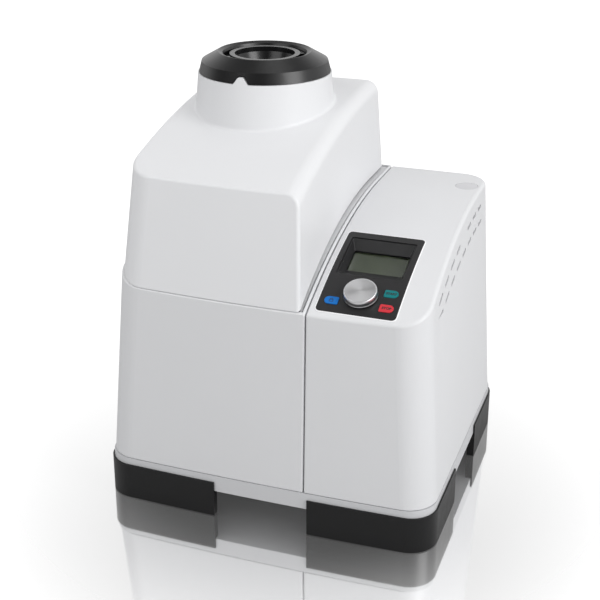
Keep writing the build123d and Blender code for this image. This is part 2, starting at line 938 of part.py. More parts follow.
pan_rim = pan_low + pan_height
neck_top = pan_low + pan_neck_height
sieve_ledge_radius = sieve_radius + sieve_wall + sieve_margin
pan_bevel_radius = pan_radius - pan_bevel
with BuildPart() as cassette_pan:
    add(
        turned(
            [
                (pan_neck_radius, pan_low),
                (pan_bevel_radius, pan_low),
                (pan_radius, pan_low + pan_bevel),
                (pan_radius, pan_rim),
                (pan_radius - pan_wall, pan_rim),
                (pan_radius - pan_wall, pan_low + pan_bevel + pan_wall),
                (pan_bevel_radius - pan_wall, pan_low + pan_wall),
                (pan_neck_radius + pan_wall, pan_low + pan_wall),
                (pan_neck_radius + pan_wall, neck_top - pan_wall),
                (sieve_ledge_radius, neck_top - pan_wall),
                (sieve_ledge_radius, neck_top),
                (pan_neck_radius, neck_top),
            ]
        )
    )
cassette_pan.part.label = "cassette_pan"
export_step(cassette_pan.part, "parts/cassette_pan.step")

with BuildPart() as ring_sieve:
    add(tube(sieve_radius + sieve_wall, sieve_radius, neck_top + face_gap, pan_rim - face_gap))
    row_pitch = (pan_rim - neck_top) / (sieve_rows + 1)
    for row in range(sieve_rows):
        with Locations((axis_x, axis_y, neck_top + (row + 1) * row_pitch)):
            with PolarLocations(sieve_radius, sieve_columns, start_angle=180 / sieve_columns * (row % 2)):
                Cylinder(sieve_hole_radius, 4 * sieve_wall, rotation=(0, 90, 0), mode=Mode.SUBTRACT)
ring_sieve.part.label = "ring_sieve"
export_step(ring_sieve.part, "parts/ring_sieve.step")

with BuildPart() as rotor:
    rotor_top = rotor_low + rotor_height
    shaft_bore = shaft_radius + running_clearance
    add(tube(rotor_radius, 0, rotor_low, rotor_low + rotor_disc))
    add(tube(rotor_hub_radius, 0, rotor_low, rotor_top - rotor_hub_drop))
    with BuildSketch(Plane.XY.offset(rotor_low)):
        with Locations((axis_x, axis_y)):
            with PolarLocations(rotor_radius - tooth_inset, rotor_teeth):
                Trapezoid(tooth_width, tooth_depth, tooth_angle, rotation=90)
    extrude(amount=rotor_height)
    add(tube(rotor_radius, 0, rotor_low - overrun, rotor_top + overrun), mode=Mode.INTERSECT)
    add(tube(shaft_bore, 0, rotor_low - overrun, shaft_top + face_gap), mode=Mode.SUBTRACT)
rotor.part.label = "rotor"
export_step(rotor.part, "parts/rotor.step")

cover_low = pan_rim + face_gap
cover_top = cover_low + cover_thickness
with BuildPart() as cassette_cover:
    add(
        turned(
            [
                (cover_hole_radius, cover_low),
                (pan_radius + cover_overhang, cover_low),
                (pan_radius + cover_overhang, cover_low + cover_thickness / 2),
                (pan_bevel_radius, cover_top),
                (cover_hole_radius, cover_top),
            ]
        )
    )
cassette_cover.part.label = "cassette_cover"
export_step(cassette_cover.part, "parts/cassette_cover.step")


# Lid: a tapered shell with a soft right edge, a round collar on top and an index bump on the collar's rim
def bow_at(x):
    """How far the bowed front stands forward of its ends at a place along X."""
    return front_bow * (1 - (2 * x / width) ** 2)


def lid_share(level):
    """How far up the lid a level is, from 0 at its low edge to 1 at its high one."""
    return (level - lid_low) / (lid_high - lid_low)


def lid_back(level):
    """Y of the lid's rear face at a level."""
    return depth / 2 - between(lid_back_inset_low, lid_back_inset_high, lid_share(level))


def lid_outline(level, inner):
    """Sketch of the lid's outline at a level, drawn inwards by inner."""
    share = lid_share(level)
    left = -width / 2 + between(lid_left_inset_low, lid_left_inset_high, share) + inner
    right = seam_x - between(lid_seam_inset_low, lid_seam_inset_high, share) - inner
    middle = (left + right) / 2
    front = -depth / 2 + between(lid_front_inset_low, lid_front_inset_high, share) + front_bow + inner
    back = lid_back(level) - inner
    front_left = (left, front - bow_at(left))
    front_middle = (middle, front - bow_at(middle))
    front_right = (right, front - bow_at(right))
    with BuildSketch(Plane.XY.offset(level)) as plan:
        with BuildLine():
            Polyline(front_right, (right, back), (left, back), front_left)
            ThreePointArc(front_left, front_middle, front_right)
        make_face()
    return plan.sketch


def under_lid_top(drop):
    """Everything under the lid's top less a drop."""
    return under_arc(lid_top_level - drop, lid_top_arc_start, lid_top_arc_radius - drop, -width, width, 0)


def is_upright(edge):
    """True for an edge that runs up most of the lid."""
    return edge.bounding_box().size.Z > (lid_high - lid_low) / 4


def is_long_side(edge):
    """True for an edge along the right side of the lid."""
    return edge.bounding_box().size.Y > depth / 2 and edge.center().X > 0


def is_lid_edge(edge):
    """True for the lid's right uprights and its top edges, apart from the soft long one."""
    if is_upright(edge):
        return edge.center().X > 0
    return edge.center().Z > top_level and not is_long_side(edge)


def lid_block(inner):
    """The lid's body as one solid without its collar, drawn inwards by inner."""
    with BuildPart() as block:
        loft([lid_outline(lid_low, inner).face(), lid_outline(lid_high, inner).face()], ruled=True)
        upright = block.edges().filter_by(is_upright)
        fillet(upright.sort_by(Axis.X)[:2], radius=lid_left_corner_radius - inner)
        add(under_lid_top(inner), mode=Mode.INTERSECT)
        long_edge = block.edges().filter_by(is_long_side).sort_by(Axis.Z)[-1]
        fillet(long_edge, radius=lid_soft_edge_radius - inner)
    return block.part


def bell(foot, head, tall, near, far):
    """Bell-shaped block on the collar's rim at the front, between two distances from the axis."""
    with BuildPart() as block:
        with BuildSketch(Plane.XZ.offset(-(axis_y - far))):
            with BuildLine():
                Polyline(
                    (axis_x - foot / 2, collar_top - face_gap),
                    (axis_x + foot / 2, collar_top - face_gap),
                    (axis_x + head / 2, collar_top + tall),
                    (axis_x - head / 2, collar_top + tall),
                    close=True,
                )
            make_face()
        extrude(amount=near - far)
        upper = block.edges().filter_by(Axis.Y).group_by(Axis.Z)[-1]
        fillet(upper, radius=head / 2 - face_gap)
    return block.part


collar_rim_low = collar_top - lid_wall
collar_mouth = collar_top_radius - collar_rim_width
collar_points = [
    (0, collar_low),
    (collar_low_radius, collar_low),
    (collar_top_radius, collar_top),
    (0, collar_top),
]
collar_hollow_points = [
    (0, collar_low - overrun),
    (collar_low_radius - lid_wall, collar_low - overrun),
    (collar_top_radius - lid_wall, collar_rim_low),
    (collar_mouth, collar_rim_low),
    (collar_mouth, collar_top + overrun),
    (0, collar_top + overrun),
]
bump_points = [
    (collar_top_radius - 2 * lid_wall, collar_rim_low),
    (collar_top_radius, collar_rim_low),
    (collar_top_radius, collar_top),
    (collar_top_radius - bump_lean, collar_top + notch_height),
    (collar_top_radius - 2 * lid_wall, collar_top + notch_height),
]
bump_bell = bell(
    notch_foot_width - 2 * notch_gap,
    notch_head_width - notch_gap,
    notch_height - notch_gap,
    0,
    2 * collar_top_radius,
)
with BuildPart() as lid_shell:
    add(lid_block(0))
    fillet(lid_shell.edges().filter_by(is_lid_edge), radius=lid_edge_radius)
    lid_body_edges = lid_shell.edges()
    add(turned(collar_points))
    collar_root = [
        edge
        for edge in lid_shell.edges()
        if edge not in lid_body_edges
        and edge.length > 5 * collar_top_radius
        and edge.center().Z < lid_top_level
    ]
    fillet(collar_root, radius=collar_root_radius)
    add(under_top(-rim_gap, -width, width, 0), mode=Mode.SUBTRACT)
    add(lid_block(lid_wall), mode=Mode.SUBTRACT)
    add(turned(collar_hollow_points), mode=Mode.SUBTRACT)
    add(turned(bump_points) & bump_bell & slab_box((-width, -depth, 0), (width, axis_y, height)))
lid_shell.part.label = "lid_shell"
export_step(lid_shell.part, "parts/lid_shell.step")

# Inside the lid: liner, the posts that hold it, the striker of the lock, seal and feed tube
liner_top = liner_level + liner_thickness
boss_low = cover_top + face_gap + seal_height + face_gap
with BuildPart() as lid_liner:
    add(lid_block(lid_wall + liner_margin))
    add(slab_box((-width, -depth, liner_level), (width, depth, liner_top)), mode=Mode.INTERSECT)
    add(tube(seal_radius + seal_width, seal_radius - seal_width, boss_low, liner_level))
    add(tube(feed_tube_radius + small_gap, 0, liner_level - overrun, liner_top + overrun), mode=Mode.SUBTRACT)
lid_liner.part.label = "lid_liner"
export_step(lid_liner.part, "parts/lid_liner.step")

with BuildPart() as liner_posts:
    with BuildSketch(Plane.XY.offset(liner_top + face_gap)):
        with Locations((axis_x + liner_post_shift_x, axis_y - liner_post_shift_y)):
            with GridLocations(liner_post_span_x, liner_post_span_y, 2, 2):
                Circle(liner_post_radius)
    extrude(amount=height)
    add(lid_block(lid_wall + small_gap), mode=Mode.INTERSECT)
liner_posts.part.label = "liner_posts"
export_step(liner_posts.part, "parts/liner_posts.step")

with BuildPart() as lid_striker:
    with BuildSketch(Plane.XY.offset(striker_bottom)):
        with Locations((striker_x, striker_y)):
            Rectangle(striker_thickness, striker_width)
    extrude(amount=liner_level - face_gap - striker_bottom)
    with BuildSketch(Plane.YZ.offset(striker_x)):
        with Locations((striker_y, bolt_level)):
            Rectangle(2 * (bolt_radius + striker_eye_gap), 2 * (bolt_radius + striker_eye_gap))
    extrude(amount=striker_thickness, both=True, mode=Mode.SUBTRACT)
lid_striker.part.label = "lid_striker"
export_step(lid_striker.part, "parts/lid_striker.step")

with BuildPart() as lid_seal:
    seal_outer = seal_radius + seal_width / 2
    add(tube(seal_outer, seal_outer - seal_width, cover_top + face_gap, boss_low - face_gap))
    fillet(lid_seal.edges().group_by(Axis.Z)[0], radius=seal_height / 3)
lid_seal.part.label = "lid_seal"
export_step(lid_seal.part, "parts/lid_seal.step")

with BuildPart() as feed_tube:
    add(tube(feed_tube_radius, feed_tube_radius - feed_tube_wall, feed_tube_bottom, feed_tube_top))
    tube_bore = feed_tube_radius - feed_tube_wall
    add(tube(feed_tube_flange, tube_bore, liner_top + face_gap, liner_top + liner_thickness))
feed_tube.part.label = "feed_tube"
export_step(feed_tube.part, "parts/feed_tube.step")


# Hinge: brackets on the casing's rear wall, arms on the lid's rear wall, pins that ride with the lid
def hinge_profile(points, left):
    """One hinge piece: an outline in the YZ plane with an eye on the hinge axis, bored for the pin."""
    with BuildPart() as piece:
        with BuildSketch(Plane.YZ.offset(left)):
            with BuildLine():
                Polyline(points, close=True)
            make_face()
            with Locations((hinge_y, hinge_z)):
                Circle(hinge_eye_radius)
                Circle(hinge_pin_radius + hinge_clearance, mode=Mode.SUBTRACT)
        extrude(amount=hinge_eye_length)
    return piece.part


bracket_rear = back_face + face_gap + hinge_leaf
bracket_points = [
    (back_face + face_gap, hinge_z - hinge_leaf_drop),
    (bracket_rear, hinge_z - hinge_leaf_drop),
    (bracket_rear, hinge_z),
    (back_face + face_gap, hinge_z),
]
arm_low = hinge_z + rim_gap + face_gap
arm_middle = hinge_z + 3 * hinge_eye_radius
arm_top = hinge_z + hinge_arm_rise
arm_points = [
    (lid_back(arm_low) + face_gap, arm_low),
    (hinge_y, hinge_z - hinge_pin_radius - hinge_leaf / 2),
    (hinge_y + hinge_eye_radius / 2, hinge_z + hinge_eye_radius / 2),
    (lid_back(arm_middle) + face_gap + hinge_leaf, arm_middle),
    (lid_back(arm_top) + face_gap + hinge_leaf, arm_top),
    (lid_back(arm_top) + face_gap, arm_top),
]
hinge_places = [axis_x - hinge_span, axis_x + hinge_span]
with BuildPart() as hinge_brackets:
    for place in hinge_places:
        add(hinge_profile(bracket_points, place - hinge_eye_length - face_gap))
hinge_brackets.part.label = "hinge_brackets"
export_step(hinge_brackets.part, "parts/hinge_brackets.step")

with BuildPart() as hinge_arms:
    for place in hinge_places:
        add(hinge_profile(arm_points, place + face_gap))
hinge_arms.part.label = "hinge_arms"
export_step(hinge_arms.part, "parts/hinge_arms.step")

with BuildPart() as hinge_pins:
    for place in hinge_places:
        with BuildSketch(Plane.YZ.offset(place - hinge_eye_length - hinge_pin_end)):
            with Locations((hinge_y, hinge_z)):
                Circle(hinge_pin_radius)
        extrude(amount=2 * hinge_eye_length + 2 * hinge_pin_end)
hinge_pins.part.label = "hinge_pins"
export_step(hinge_pins.part, "parts/hinge_pins.step")

# Black feed ring on the collar and the feed insert that turns in it
ring_wall_low = ring_bottom_radius - ring_wall
skirt_low = insert_seat - ring_wall
skirt_outer = insert_radius + insert_clearance + ring_wall
with BuildPart() as funnel_ring:
    add(
        turned(
            [
                (ring_bottom_radius, ring_bottom),
                (ring_edge_radius, ring_edge_level),
                (ring_ridge_radius, height),
                (ring_lip_radius, height - ring_lip_drop),
                (insert_radius + insert_clearance, height - ring_lip_drop - ring_wall),
                (insert_radius + insert_clearance, insert_seat),
                (seat_radius, insert_seat),
                (seat_radius, skirt_low),
                (skirt_outer, skirt_low),
                (skirt_outer, height - ring_lip_drop - ring_wall),
                (ring_ridge_radius, height - ring_wall - face_gap),
                (ring_edge_radius - ring_wall, ring_edge_level - ring_wall / 2),
                (ring_wall_low, ring_bottom),
            ]
        )
    )
    ridge = funnel_ring.edges().filter_by(lambda edge: edge.center().Z > height - face_gap)
    fillet(ridge, radius=ring_ridge_rounding)
    notch_bell = bell(notch_foot_width, notch_head_width, notch_height, 0, 2 * collar_top_radius)
    notch_side = slab_box((-width, -depth, 0), (width, axis_y - skirt_outer - ring_wall, height))
    add(notch_bell & notch_side, mode=Mode.SUBTRACT)
funnel_ring.part.label = "funnel_ring"
export_step(funnel_ring.part, "parts/funnel_ring.step")

insert_low = insert_seat + small_gap
insert_face = insert_low + insert_flange
cone_rise = (feed_bore_radius - feed_neck_radius) / (insert_top - feed_bore_length - feed_neck_level)
cone_length = insert_top - feed_bore_length - insert_low
cone_at_flange = feed_bore_radius - cone_length * cone_rise + insert_wall + overrun
with BuildPart() as feed_insert:
    add(
        turned(
            [
                (insert_radius, insert_low),
                (insert_radius, insert_face),
                (insert_rim_radius, insert_face),
                (insert_rim_radius, insert_top),
                (feed_bore_radius, insert_top),
                (feed_bore_radius, insert_top - feed_bore_length),
                (feed_neck_radius, feed_neck_level),
                (feed_neck_radius, feed_neck_level - feed_neck_length),
                (feed_neck_radius + insert_wall, feed_neck_level - feed_neck_length),
                (feed_neck_radius + insert_wall, feed_neck_level),
                (cone_at_flange, insert_low),
            ]
        )
    )
    with BuildSketch(Plane((axis_x, axis_y, insert_face))):
        for lug in range(lug_count):
            lug_turn = lug_first_turn + lug * 360 / lug_count
            with BuildLine():
                lug_out = CenterArc((0, 0), insert_radius - insert_clearance, lug_turn, lug_angle)
                lug_in = CenterArc((0, 0), insert_rim_radius - overrun, lug_turn, lug_angle)
                Line(lug_out @ 0, lug_in @ 0)
                Line(lug_out @ 1, lug_in @ 1)
            make_face()
    extrude(amount=lug_height)
feed_insert.part.label = "feed_insert"
export_step(feed_insert.part, "parts/feed_insert.step")

# Lock of the lid on the deck, with its bolt, and the lid switch beside it
lock_low = deck_top + face_gap
lock_top = bolt_level + 2 * bolt_radius
striker_slot_left = striker_x - striker_thickness / 2 - striker_room
striker_slot_right = striker_x + striker_thickness / 2 + striker_room
lock_left = striker_slot_left - lock_side
lock_right = striker_slot_right + lock_side
bore_length = bolt_length + lock_side + striker_slot_right - striker_slot_left + bolt_travel / 2
with BuildPart() as lock_housing:
    add(slab_box((lock_left, lock_front, lock_low), (lock_right, lock_rear, lock_top)))
    fillet(lock_housing.edges().filter_by(Axis.Z), radius=lock_edge_radius)
    motor_low_corner = (lock_left - lock_motor_length, striker_y - lock_motor_half, lock_low)
    motor_high_corner = (lock_left, striker_y + lock_motor_half, bolt_level + lock_motor_half)
    add(slab_box(motor_low_corner, motor_high_corner))
    slot_low_corner = (striker_slot_left, lock_front + lock_wall, striker_bottom - lock_floor_gap)
    slot_high_corner = (striker_slot_right, striker_y + striker_width / 2 + striker_room, top_level)
    add(slab_box(slot_low_corner, slot_high_corner), mode=Mode.SUBTRACT)
    with BuildSketch(Plane.YZ.offset(lock_left - bolt_length)):
        with Locations((striker_y, bolt_level)):
            Circle(bolt_radius + small_gap)
    extrude(amount=bore_length, mode=Mode.SUBTRACT)
lock_housing.part.label = "lock_housing"
export_step(lock_housing.part, "parts/lock_housing.step")

bolt_tip = striker_slot_left - face_gap
with BuildPart() as lock_bolt:
    with BuildSketch(Plane.YZ.offset(bolt_tip - bolt_length)):
        with Locations((striker_y, bolt_level)):
            Circle(bolt_radius)
    extrude(amount=bolt_length)
    chamfer(lock_bolt.edges().group_by(Axis.X)[-1], length=bolt_chamfer)
lock_bolt.part.label = "lock_bolt"
export_step(lock_bolt.part, "parts/lock_bolt.step")

with BuildPart() as lid_switch:
    switch_low_corner = (lid_switch_x, lock_front, lock_low)
    add(slab_box(
        switch_low_corner,
        (lid_switch_x + lid_switch_width, lock_front + lid_switch_length, lock_low + lid_switch_height),
    ))
    fillet(lid_switch.edges().filter_by(Axis.Z), radius=lid_switch_edge_radius)
    with BuildSketch(Plane.XY.offset(lock_low + lid_switch_height)):
        with Locations((lid_switch_x + lid_switch_width / 2, lock_front + lid_switch_width / 2)):
            Circle(plunger_radius)
    extrude(amount=plunger_rise)
lid_switch.part.label = "lid_switch"
export_step(lid_switch.part, "parts/lid_switch.step")

# Control panel, recessed display, keys and knob, all on the sloping top of the right casing
control_plane = slope_plane(knob_x, knob_y)
display_y = (recess_rear + recess_front) / 2
display_plane = slope_plane((recess_left + recess_right) / 2, display_y)
display_width = recess_right - recess_left
display_length = (recess_rear - recess_front) / math.cos(math.radians(arc_angle(display_y)))
panel_under = panel_proud - panel_thickness


def up_slope(y):
    """Place along the control plane of a point given by its Y."""
    return (y - knob_y) / math.cos(math.radians(arc_angle(knob_y)))


def key_outline(x, y, side, grow):
    """Outline of a key with one round end: side is -1 where the left end is round, 1 for the right."""
    reach = key_width / 2 - key_height / 2
    with BuildSketch() as outline:
        with Locations((x - knob_x - side * (key_width / 2 - reach) / 2, up_slope(y))):
            RectangleRounded(
                key_width / 2 + reach + 2 * grow,
                key_height + 2 * grow,
                key_corner_radius + grow,
            )
        with Locations((x - knob_x + side * reach, up_slope(y))):
            Circle(key_height / 2 + grow)
        with Locations((x - knob_x + side * reach / 2, up_slope(y))):
            Rectangle(reach, key_height + 2 * grow)
    return outline.sketch


def on_controls(low):
    """The control plane raised by low."""
    return control_plane.offset(low)


def key_plane_height(edge):
    """Height of an edge's middle over the control plane."""
    return control_plane.to_local_coords(edge.center()).Z


keys = [
    ("lock_key", lock_key_x, lock_key_y, -1),
    ("start_key", start_key_x, start_key_y, 1),
    ("stop_key", start_key_x, stop_key_y, 1),
]
with BuildPart() as control_panel:
    add(
        curved_slab(
            panel_left,
            panel_right,
            panel_rear,
            panel_front,
            panel_under,
            panel_proud,
            panel_corner_radius,
        )
    )
    with BuildSketch(display_plane.offset(-2 * panel_thickness)):
        RectangleRounded(display_width, display_length, panel_corner_radius / 2)
    extrude(amount=4 * panel_thickness, mode=Mode.SUBTRACT)
    with BuildSketch(on_controls(-2 * panel_thickness)):
        Circle(knob_bush_radius + overrun)
        for name, key_x, key_y, side in keys:
            add(key_outline(key_x, key_y, side, key_gap))
    extrude(amount=4 * panel_thickness, mode=Mode.SUBTRACT)
control_panel.part.label = "control_panel"
export_step(control_panel.part, "parts/control_panel.step")

key_seat = panel_under - 2 * face_gap
for name, key_x, key_y, side in keys:
    with BuildPart() as key:
        with BuildSketch(on_controls(key_seat)):
            add(key_outline(key_x, key_y, side, 0))
        extrude(amount=panel_proud + key_proud - key_seat)
        key_rim = key.edges().filter_by(lambda edge: key_plane_height(edge) > panel_proud)
        fillet(key_rim, radius=key_edge_radius)
        with BuildSketch(on_controls(key_seat)):
            add(key_outline(key_x, key_y, side, key_gap + key_flange))
        extrude(amount=-key_flange)
    key.part.label = name
    export_step(key.part, "parts/" + name + ".step")

board_top = -board_drop
switch_top = key_seat - key_flange - key_travel - face_gap
with BuildPart() as key_board:
    with BuildSketch(on_controls(board_top - board_thickness)):
        Rectangle(key_board_width, key_board_length)
    extrude(amount=board_thickness)
    with BuildSketch(on_controls(board_top)):
        for name, key_x, key_y, side in keys:
            with Locations((key_x - knob_x, up_slope(key_y))):
                Rectangle(tact_size, tact_size)
    extrude(amount=switch_top - board_top)
    with BuildSketch(on_controls(board_top)):
        with GridLocations(stud_span, key_board_length - 4 * stud_radius, 2, 2):
            Circle(stud_radius)
    extrude(amount=panel_under - 2 * face_gap - board_top)
key_board.part.label = "key_board"
export_step(key_board.part, "parts/key_board.step")

spindle_low = board_top + encoder_floor + knob_travel + face_gap
with BuildPart() as encoder_body:
    with BuildSketch(on_controls(board_top + face_gap)):
        Rectangle(encoder_size, encoder_size)
    extrude(amount=encoder_height)
    with BuildSketch(on_controls(board_top + face_gap)):
        Circle(knob_bush_radius)
    extrude(amount=panel_proud - knob_bush_drop - board_top - face_gap)
    with BuildSketch(on_controls(board_top + encoder_floor)):
        Circle(spindle_radius + running_clearance)
    extrude(amount=knob_height + 2 * encoder_size, mode=Mode.SUBTRACT)
encoder_body.part.label = "encoder_body"
export_step(encoder_body.part, "parts/encoder_body.step")

knob_low = panel_proud + knob_lift
knob_bore_top = knob_low + knob_bore_depth
with BuildPart() as knob_spindle:
    with BuildSketch(on_controls(spindle_low)):
        Circle(spindle_radius)
    extrude(amount=knob_bore_top - face_gap - spindle_low)
knob_spindle.part.label = "knob_spindle"
export_step(knob_spindle.part, "parts/knob_spindle.step")

with BuildPart() as knob:
    with BuildSketch(on_controls(knob_low)):
        Circle(knob_radius)
    extrude(amount=knob_height, taper=knob_taper)
    upper_edge = knob.edges().filter_by(lambda edge: key_plane_height(edge) > knob_low + small_gap)
    fillet(upper_edge, radius=knob_edge_radius)
    with BuildSketch(on_controls(knob_low)):
        Circle(spindle_radius + running_clearance)
    extrude(amount=knob_bore_top - knob_low, mode=Mode.SUBTRACT)
knob.part.label = "knob"
export_step(knob.part, "parts/knob.step")

frame_top = panel_proud - frame_drop
frame_low = -recess_depth
opening_low = frame_low + frame_floor
opening_width = lcd_width + 2 * lcd_margin
opening_length = lcd_height + 2 * lcd_margin
with BuildPart() as display_frame:
    with BuildSketch(display_plane.offset(frame_low)):
        RectangleRounded(
            display_width - 2 * small_gap,
            display_length - 2 * small_gap,
            panel_corner_radius / 2,
        )
    extrude(amount=frame_top - frame_low)
    add(
        curved_slab(
            recess_left - frame_flange,
            recess_right + frame_flange,
            recess_rear + frame_flange,
            recess_front - frame_flange,
            panel_under - face_gap - frame_wall,
            panel_under - face_gap,
            panel_corner_radius,
        )
    )
    with BuildSketch(display_plane.offset(frame_top)):
        RectangleRounded(display_width - 2 * frame_wall, display_length - 2 * frame_wall, frame_wall)
    with BuildSketch(display_plane.offset(opening_low)):
        with Locations((0, lcd_shift)):
            RectangleRounded(opening_width, opening_length, frame_wall)
    loft(mode=Mode.SUBTRACT)
    with BuildSketch(display_plane.offset(opening_low)):
        with Locations((0, lcd_shift)):
            RectangleRounded(opening_width, opening_length, frame_wall)
    extrude(amount=frame_low - opening_low, mode=Mode.SUBTRACT)
    with BuildSketch(display_plane.offset(frame_top)):
        RectangleRounded(display_width - 2 * frame_wall, display_length - 2 * frame_wall, frame_wall)
    extrude(amount=frame_wall, mode=Mode.SUBTRACT)
display_frame.part.label = "display_frame"
export_step(display_frame.part, "parts/display_frame.step")


def display_plate(width_across, length_along, top, thickness):
    """Plate behind the display's opening, with its top at an offset from the casing's surface."""
    with BuildPart() as plate:
        with BuildSketch(display_plane.offset(top)):
            with Locations((0, lcd_shift)):
                Rectangle(width_across, length_along)
        extrude(amount=-thickness)
    return plate.part


glass_top = frame_low - face_gap
display_window = display_plate(
    lcd_width + 2 * window_margin,
    lcd_height + 2 * window_margin,
    glass_top,
    glass_thickness,
)
display_window.label = "display_window"
export_step(display_window, "parts/display_window.step")

lcd_top = glass_top - glass_thickness - face_gap
lcd_module = display_plate(
    lcd_width + 2 * module_margin,
    lcd_height + 2 * module_margin,
    lcd_top,
    lcd_thickness,
)
lcd_module.label = "lcd_module"
export_step(lcd_module, "parts/lcd_module.step")

display_board_top = lcd_top - lcd_thickness - face_gap
with BuildPart() as display_board:
    with BuildSketch(display_plane.offset(display_board_top)):
        Rectangle(display_width, display_length - 2 * stud_radius)
    extrude(amount=-board_thickness)
    with BuildSketch(display_plane.offset(display_board_top)):
        with GridLocations(display_width - 3 * stud_radius, display_length - 5 * stud_radius, 2, 2):
            Circle(stud_radius)
    extrude(amount=frame_low - face_gap - display_board_top)
display_board.part.label = "display_board"
export_step(display_board.part, "parts/display_board.step")

# Stand socket under its round cap at the rear of the right casing
cap_low = top_level - cap_thickness
with BuildPart() as socket_cap:
    with BuildSketch(Plane.XY.offset(cap_low)):
        with Locations((cap_x, cap_y)):
            Circle(cap_radius)
    extrude(amount=cap_thickness)
    fillet(socket_cap.edges().group_by(Axis.Z)[-1], radius=cap_edge_radius)
    with BuildSketch(Plane.XY.offset(cap_low)):
        with Locations((cap_x, cap_y)):
            Circle(cap_radius - socket_wall)
    extrude(amount=-cap_plug_length)
socket_cap.part.label = "socket_cap"
export_step(socket_cap.part, "parts/socket_cap.step")

socket_bore = cap_radius - socket_wall + small_gap
socket_top = top_level - casing_wall - face_gap
with BuildPart() as stand_socket:
    with BuildSketch(Plane.XY.offset(socket_top)):
        with Locations((cap_x, cap_y)):
            Circle(socket_bore + socket_wall)
    extrude(amount=-socket_depth)
    with BuildSketch(Plane.XY.offset(socket_top)):
        with Locations((cap_x, cap_y)):
            Circle(cap_radius + 2 * socket_wall)
    extrude(amount=-socket_wall)
    add(inside_fit, mode=Mode.INTERSECT)
    with BuildSketch(Plane.XY.offset(socket_top + overrun)):
        with Locations((cap_x, cap_y)):
            Circle(socket_bore)
    extrude(amount=-socket_depth, mode=Mode.SUBTRACT)
stand_socket.part.label = "stand_socket"
export_step(stand_socket.part, "parts/stand_socket.step")

# Electronics on the floor of the right column: converter with heat sink and an upright power board
converter_low = floor_top + face_gap
converter_top = converter_low + converter_height
converter_left = converter_x - converter_width / 2
converter_right = converter_x + converter_width / 2
converter_rear = converter_front + converter_depth
converter_y = (converter_front + converter_rear) / 2
with BuildPart() as converter_box:
    box_low_corner = (converter_left, converter_front, converter_low)
    add(slab_box(box_low_corner, (converter_right, converter_rear, converter_top)))
    fillet(converter_box.edges().filter_by(Axis.Z), radius=converter_edge_radius)
    with BuildSketch(Plane.XZ.offset(-converter_rear)):
        with Locations((converter_x, converter_low + converter_height / 2)):
            with GridLocations(grille_pitch_x, grille_pitch_z, grille_columns, grille_rows):
                Rectangle(grille_hole_width, grille_hole_height)
    extrude(amount=grille_depth, mode=Mode.SUBTRACT)
converter_box.part.label = "converter_box"
export_step(converter_box.part, "parts/converter_box.step")

sink_low = converter_top + face_gap
with BuildPart() as heat_sink:
    sink_low_corner = (converter_left, converter_front, sink_low)
    add(slab_box(sink_low_corner, (converter_right, converter_rear, sink_low + sink_base)))
    fin_pitch = (converter_width - sink_fin_thickness) / (sink_fin_count - 1)
    with BuildSketch(Plane.XY.offset(sink_low + sink_base)):
        with Locations((converter_x, converter_y)):
            with GridLocations(fin_pitch, 0, sink_fin_count, 1):
                Rectangle(sink_fin_thickness, converter_depth)
    extrude(amount=sink_fin_height)
heat_sink.part.label = "heat_sink"
export_step(heat_sink.part, "parts/heat_sink.step")

power_left = right_side_inner + power_stand
power_right = power_left + board_thickness
power_rear = power_front + power_length
stud_span_y = power_length - 2 * power_stud_inset
stud_span_z = power_height - 2 * power_stud_inset
with BuildPart() as power_board:
    add(slab_box((power_left, power_front, power_low), (power_right, power_rear, power_low + power_height)))
    middle_y = (power_front + power_rear) / 2
    middle_z = power_low + power_height / 2
    with BuildSketch(Plane.YZ.offset(right_side_inner + face_gap)):
        with Locations((middle_y, middle_z)):
            with GridLocations(stud_span_y, stud_span_z, 2, 2):
                Circle(stud_radius)
    extrude(amount=power_stand - face_gap)
    with BuildSketch(Plane.YZ.offset(power_right)):
        with Locations((power_front + capacitor_inset, middle_z)):
            with GridLocations(0, capacitor_spread, 1, 2):
                Circle(capacitor_radius)
    extrude(amount=capacitor_length)
    with BuildSketch(Plane.YZ.offset(power_right)):
        with Locations((power_front + choke_inset, middle_z)):
            Rectangle(choke_width, choke_height)
        with Locations((power_rear - terminal_rear_inset, middle_z)):
            Rectangle(terminal_width, terminal_height)
    extrude(amount=component_depth)
power_board.part.label = "power_board"
export_step(power_board.part, "parts/power_board.step")

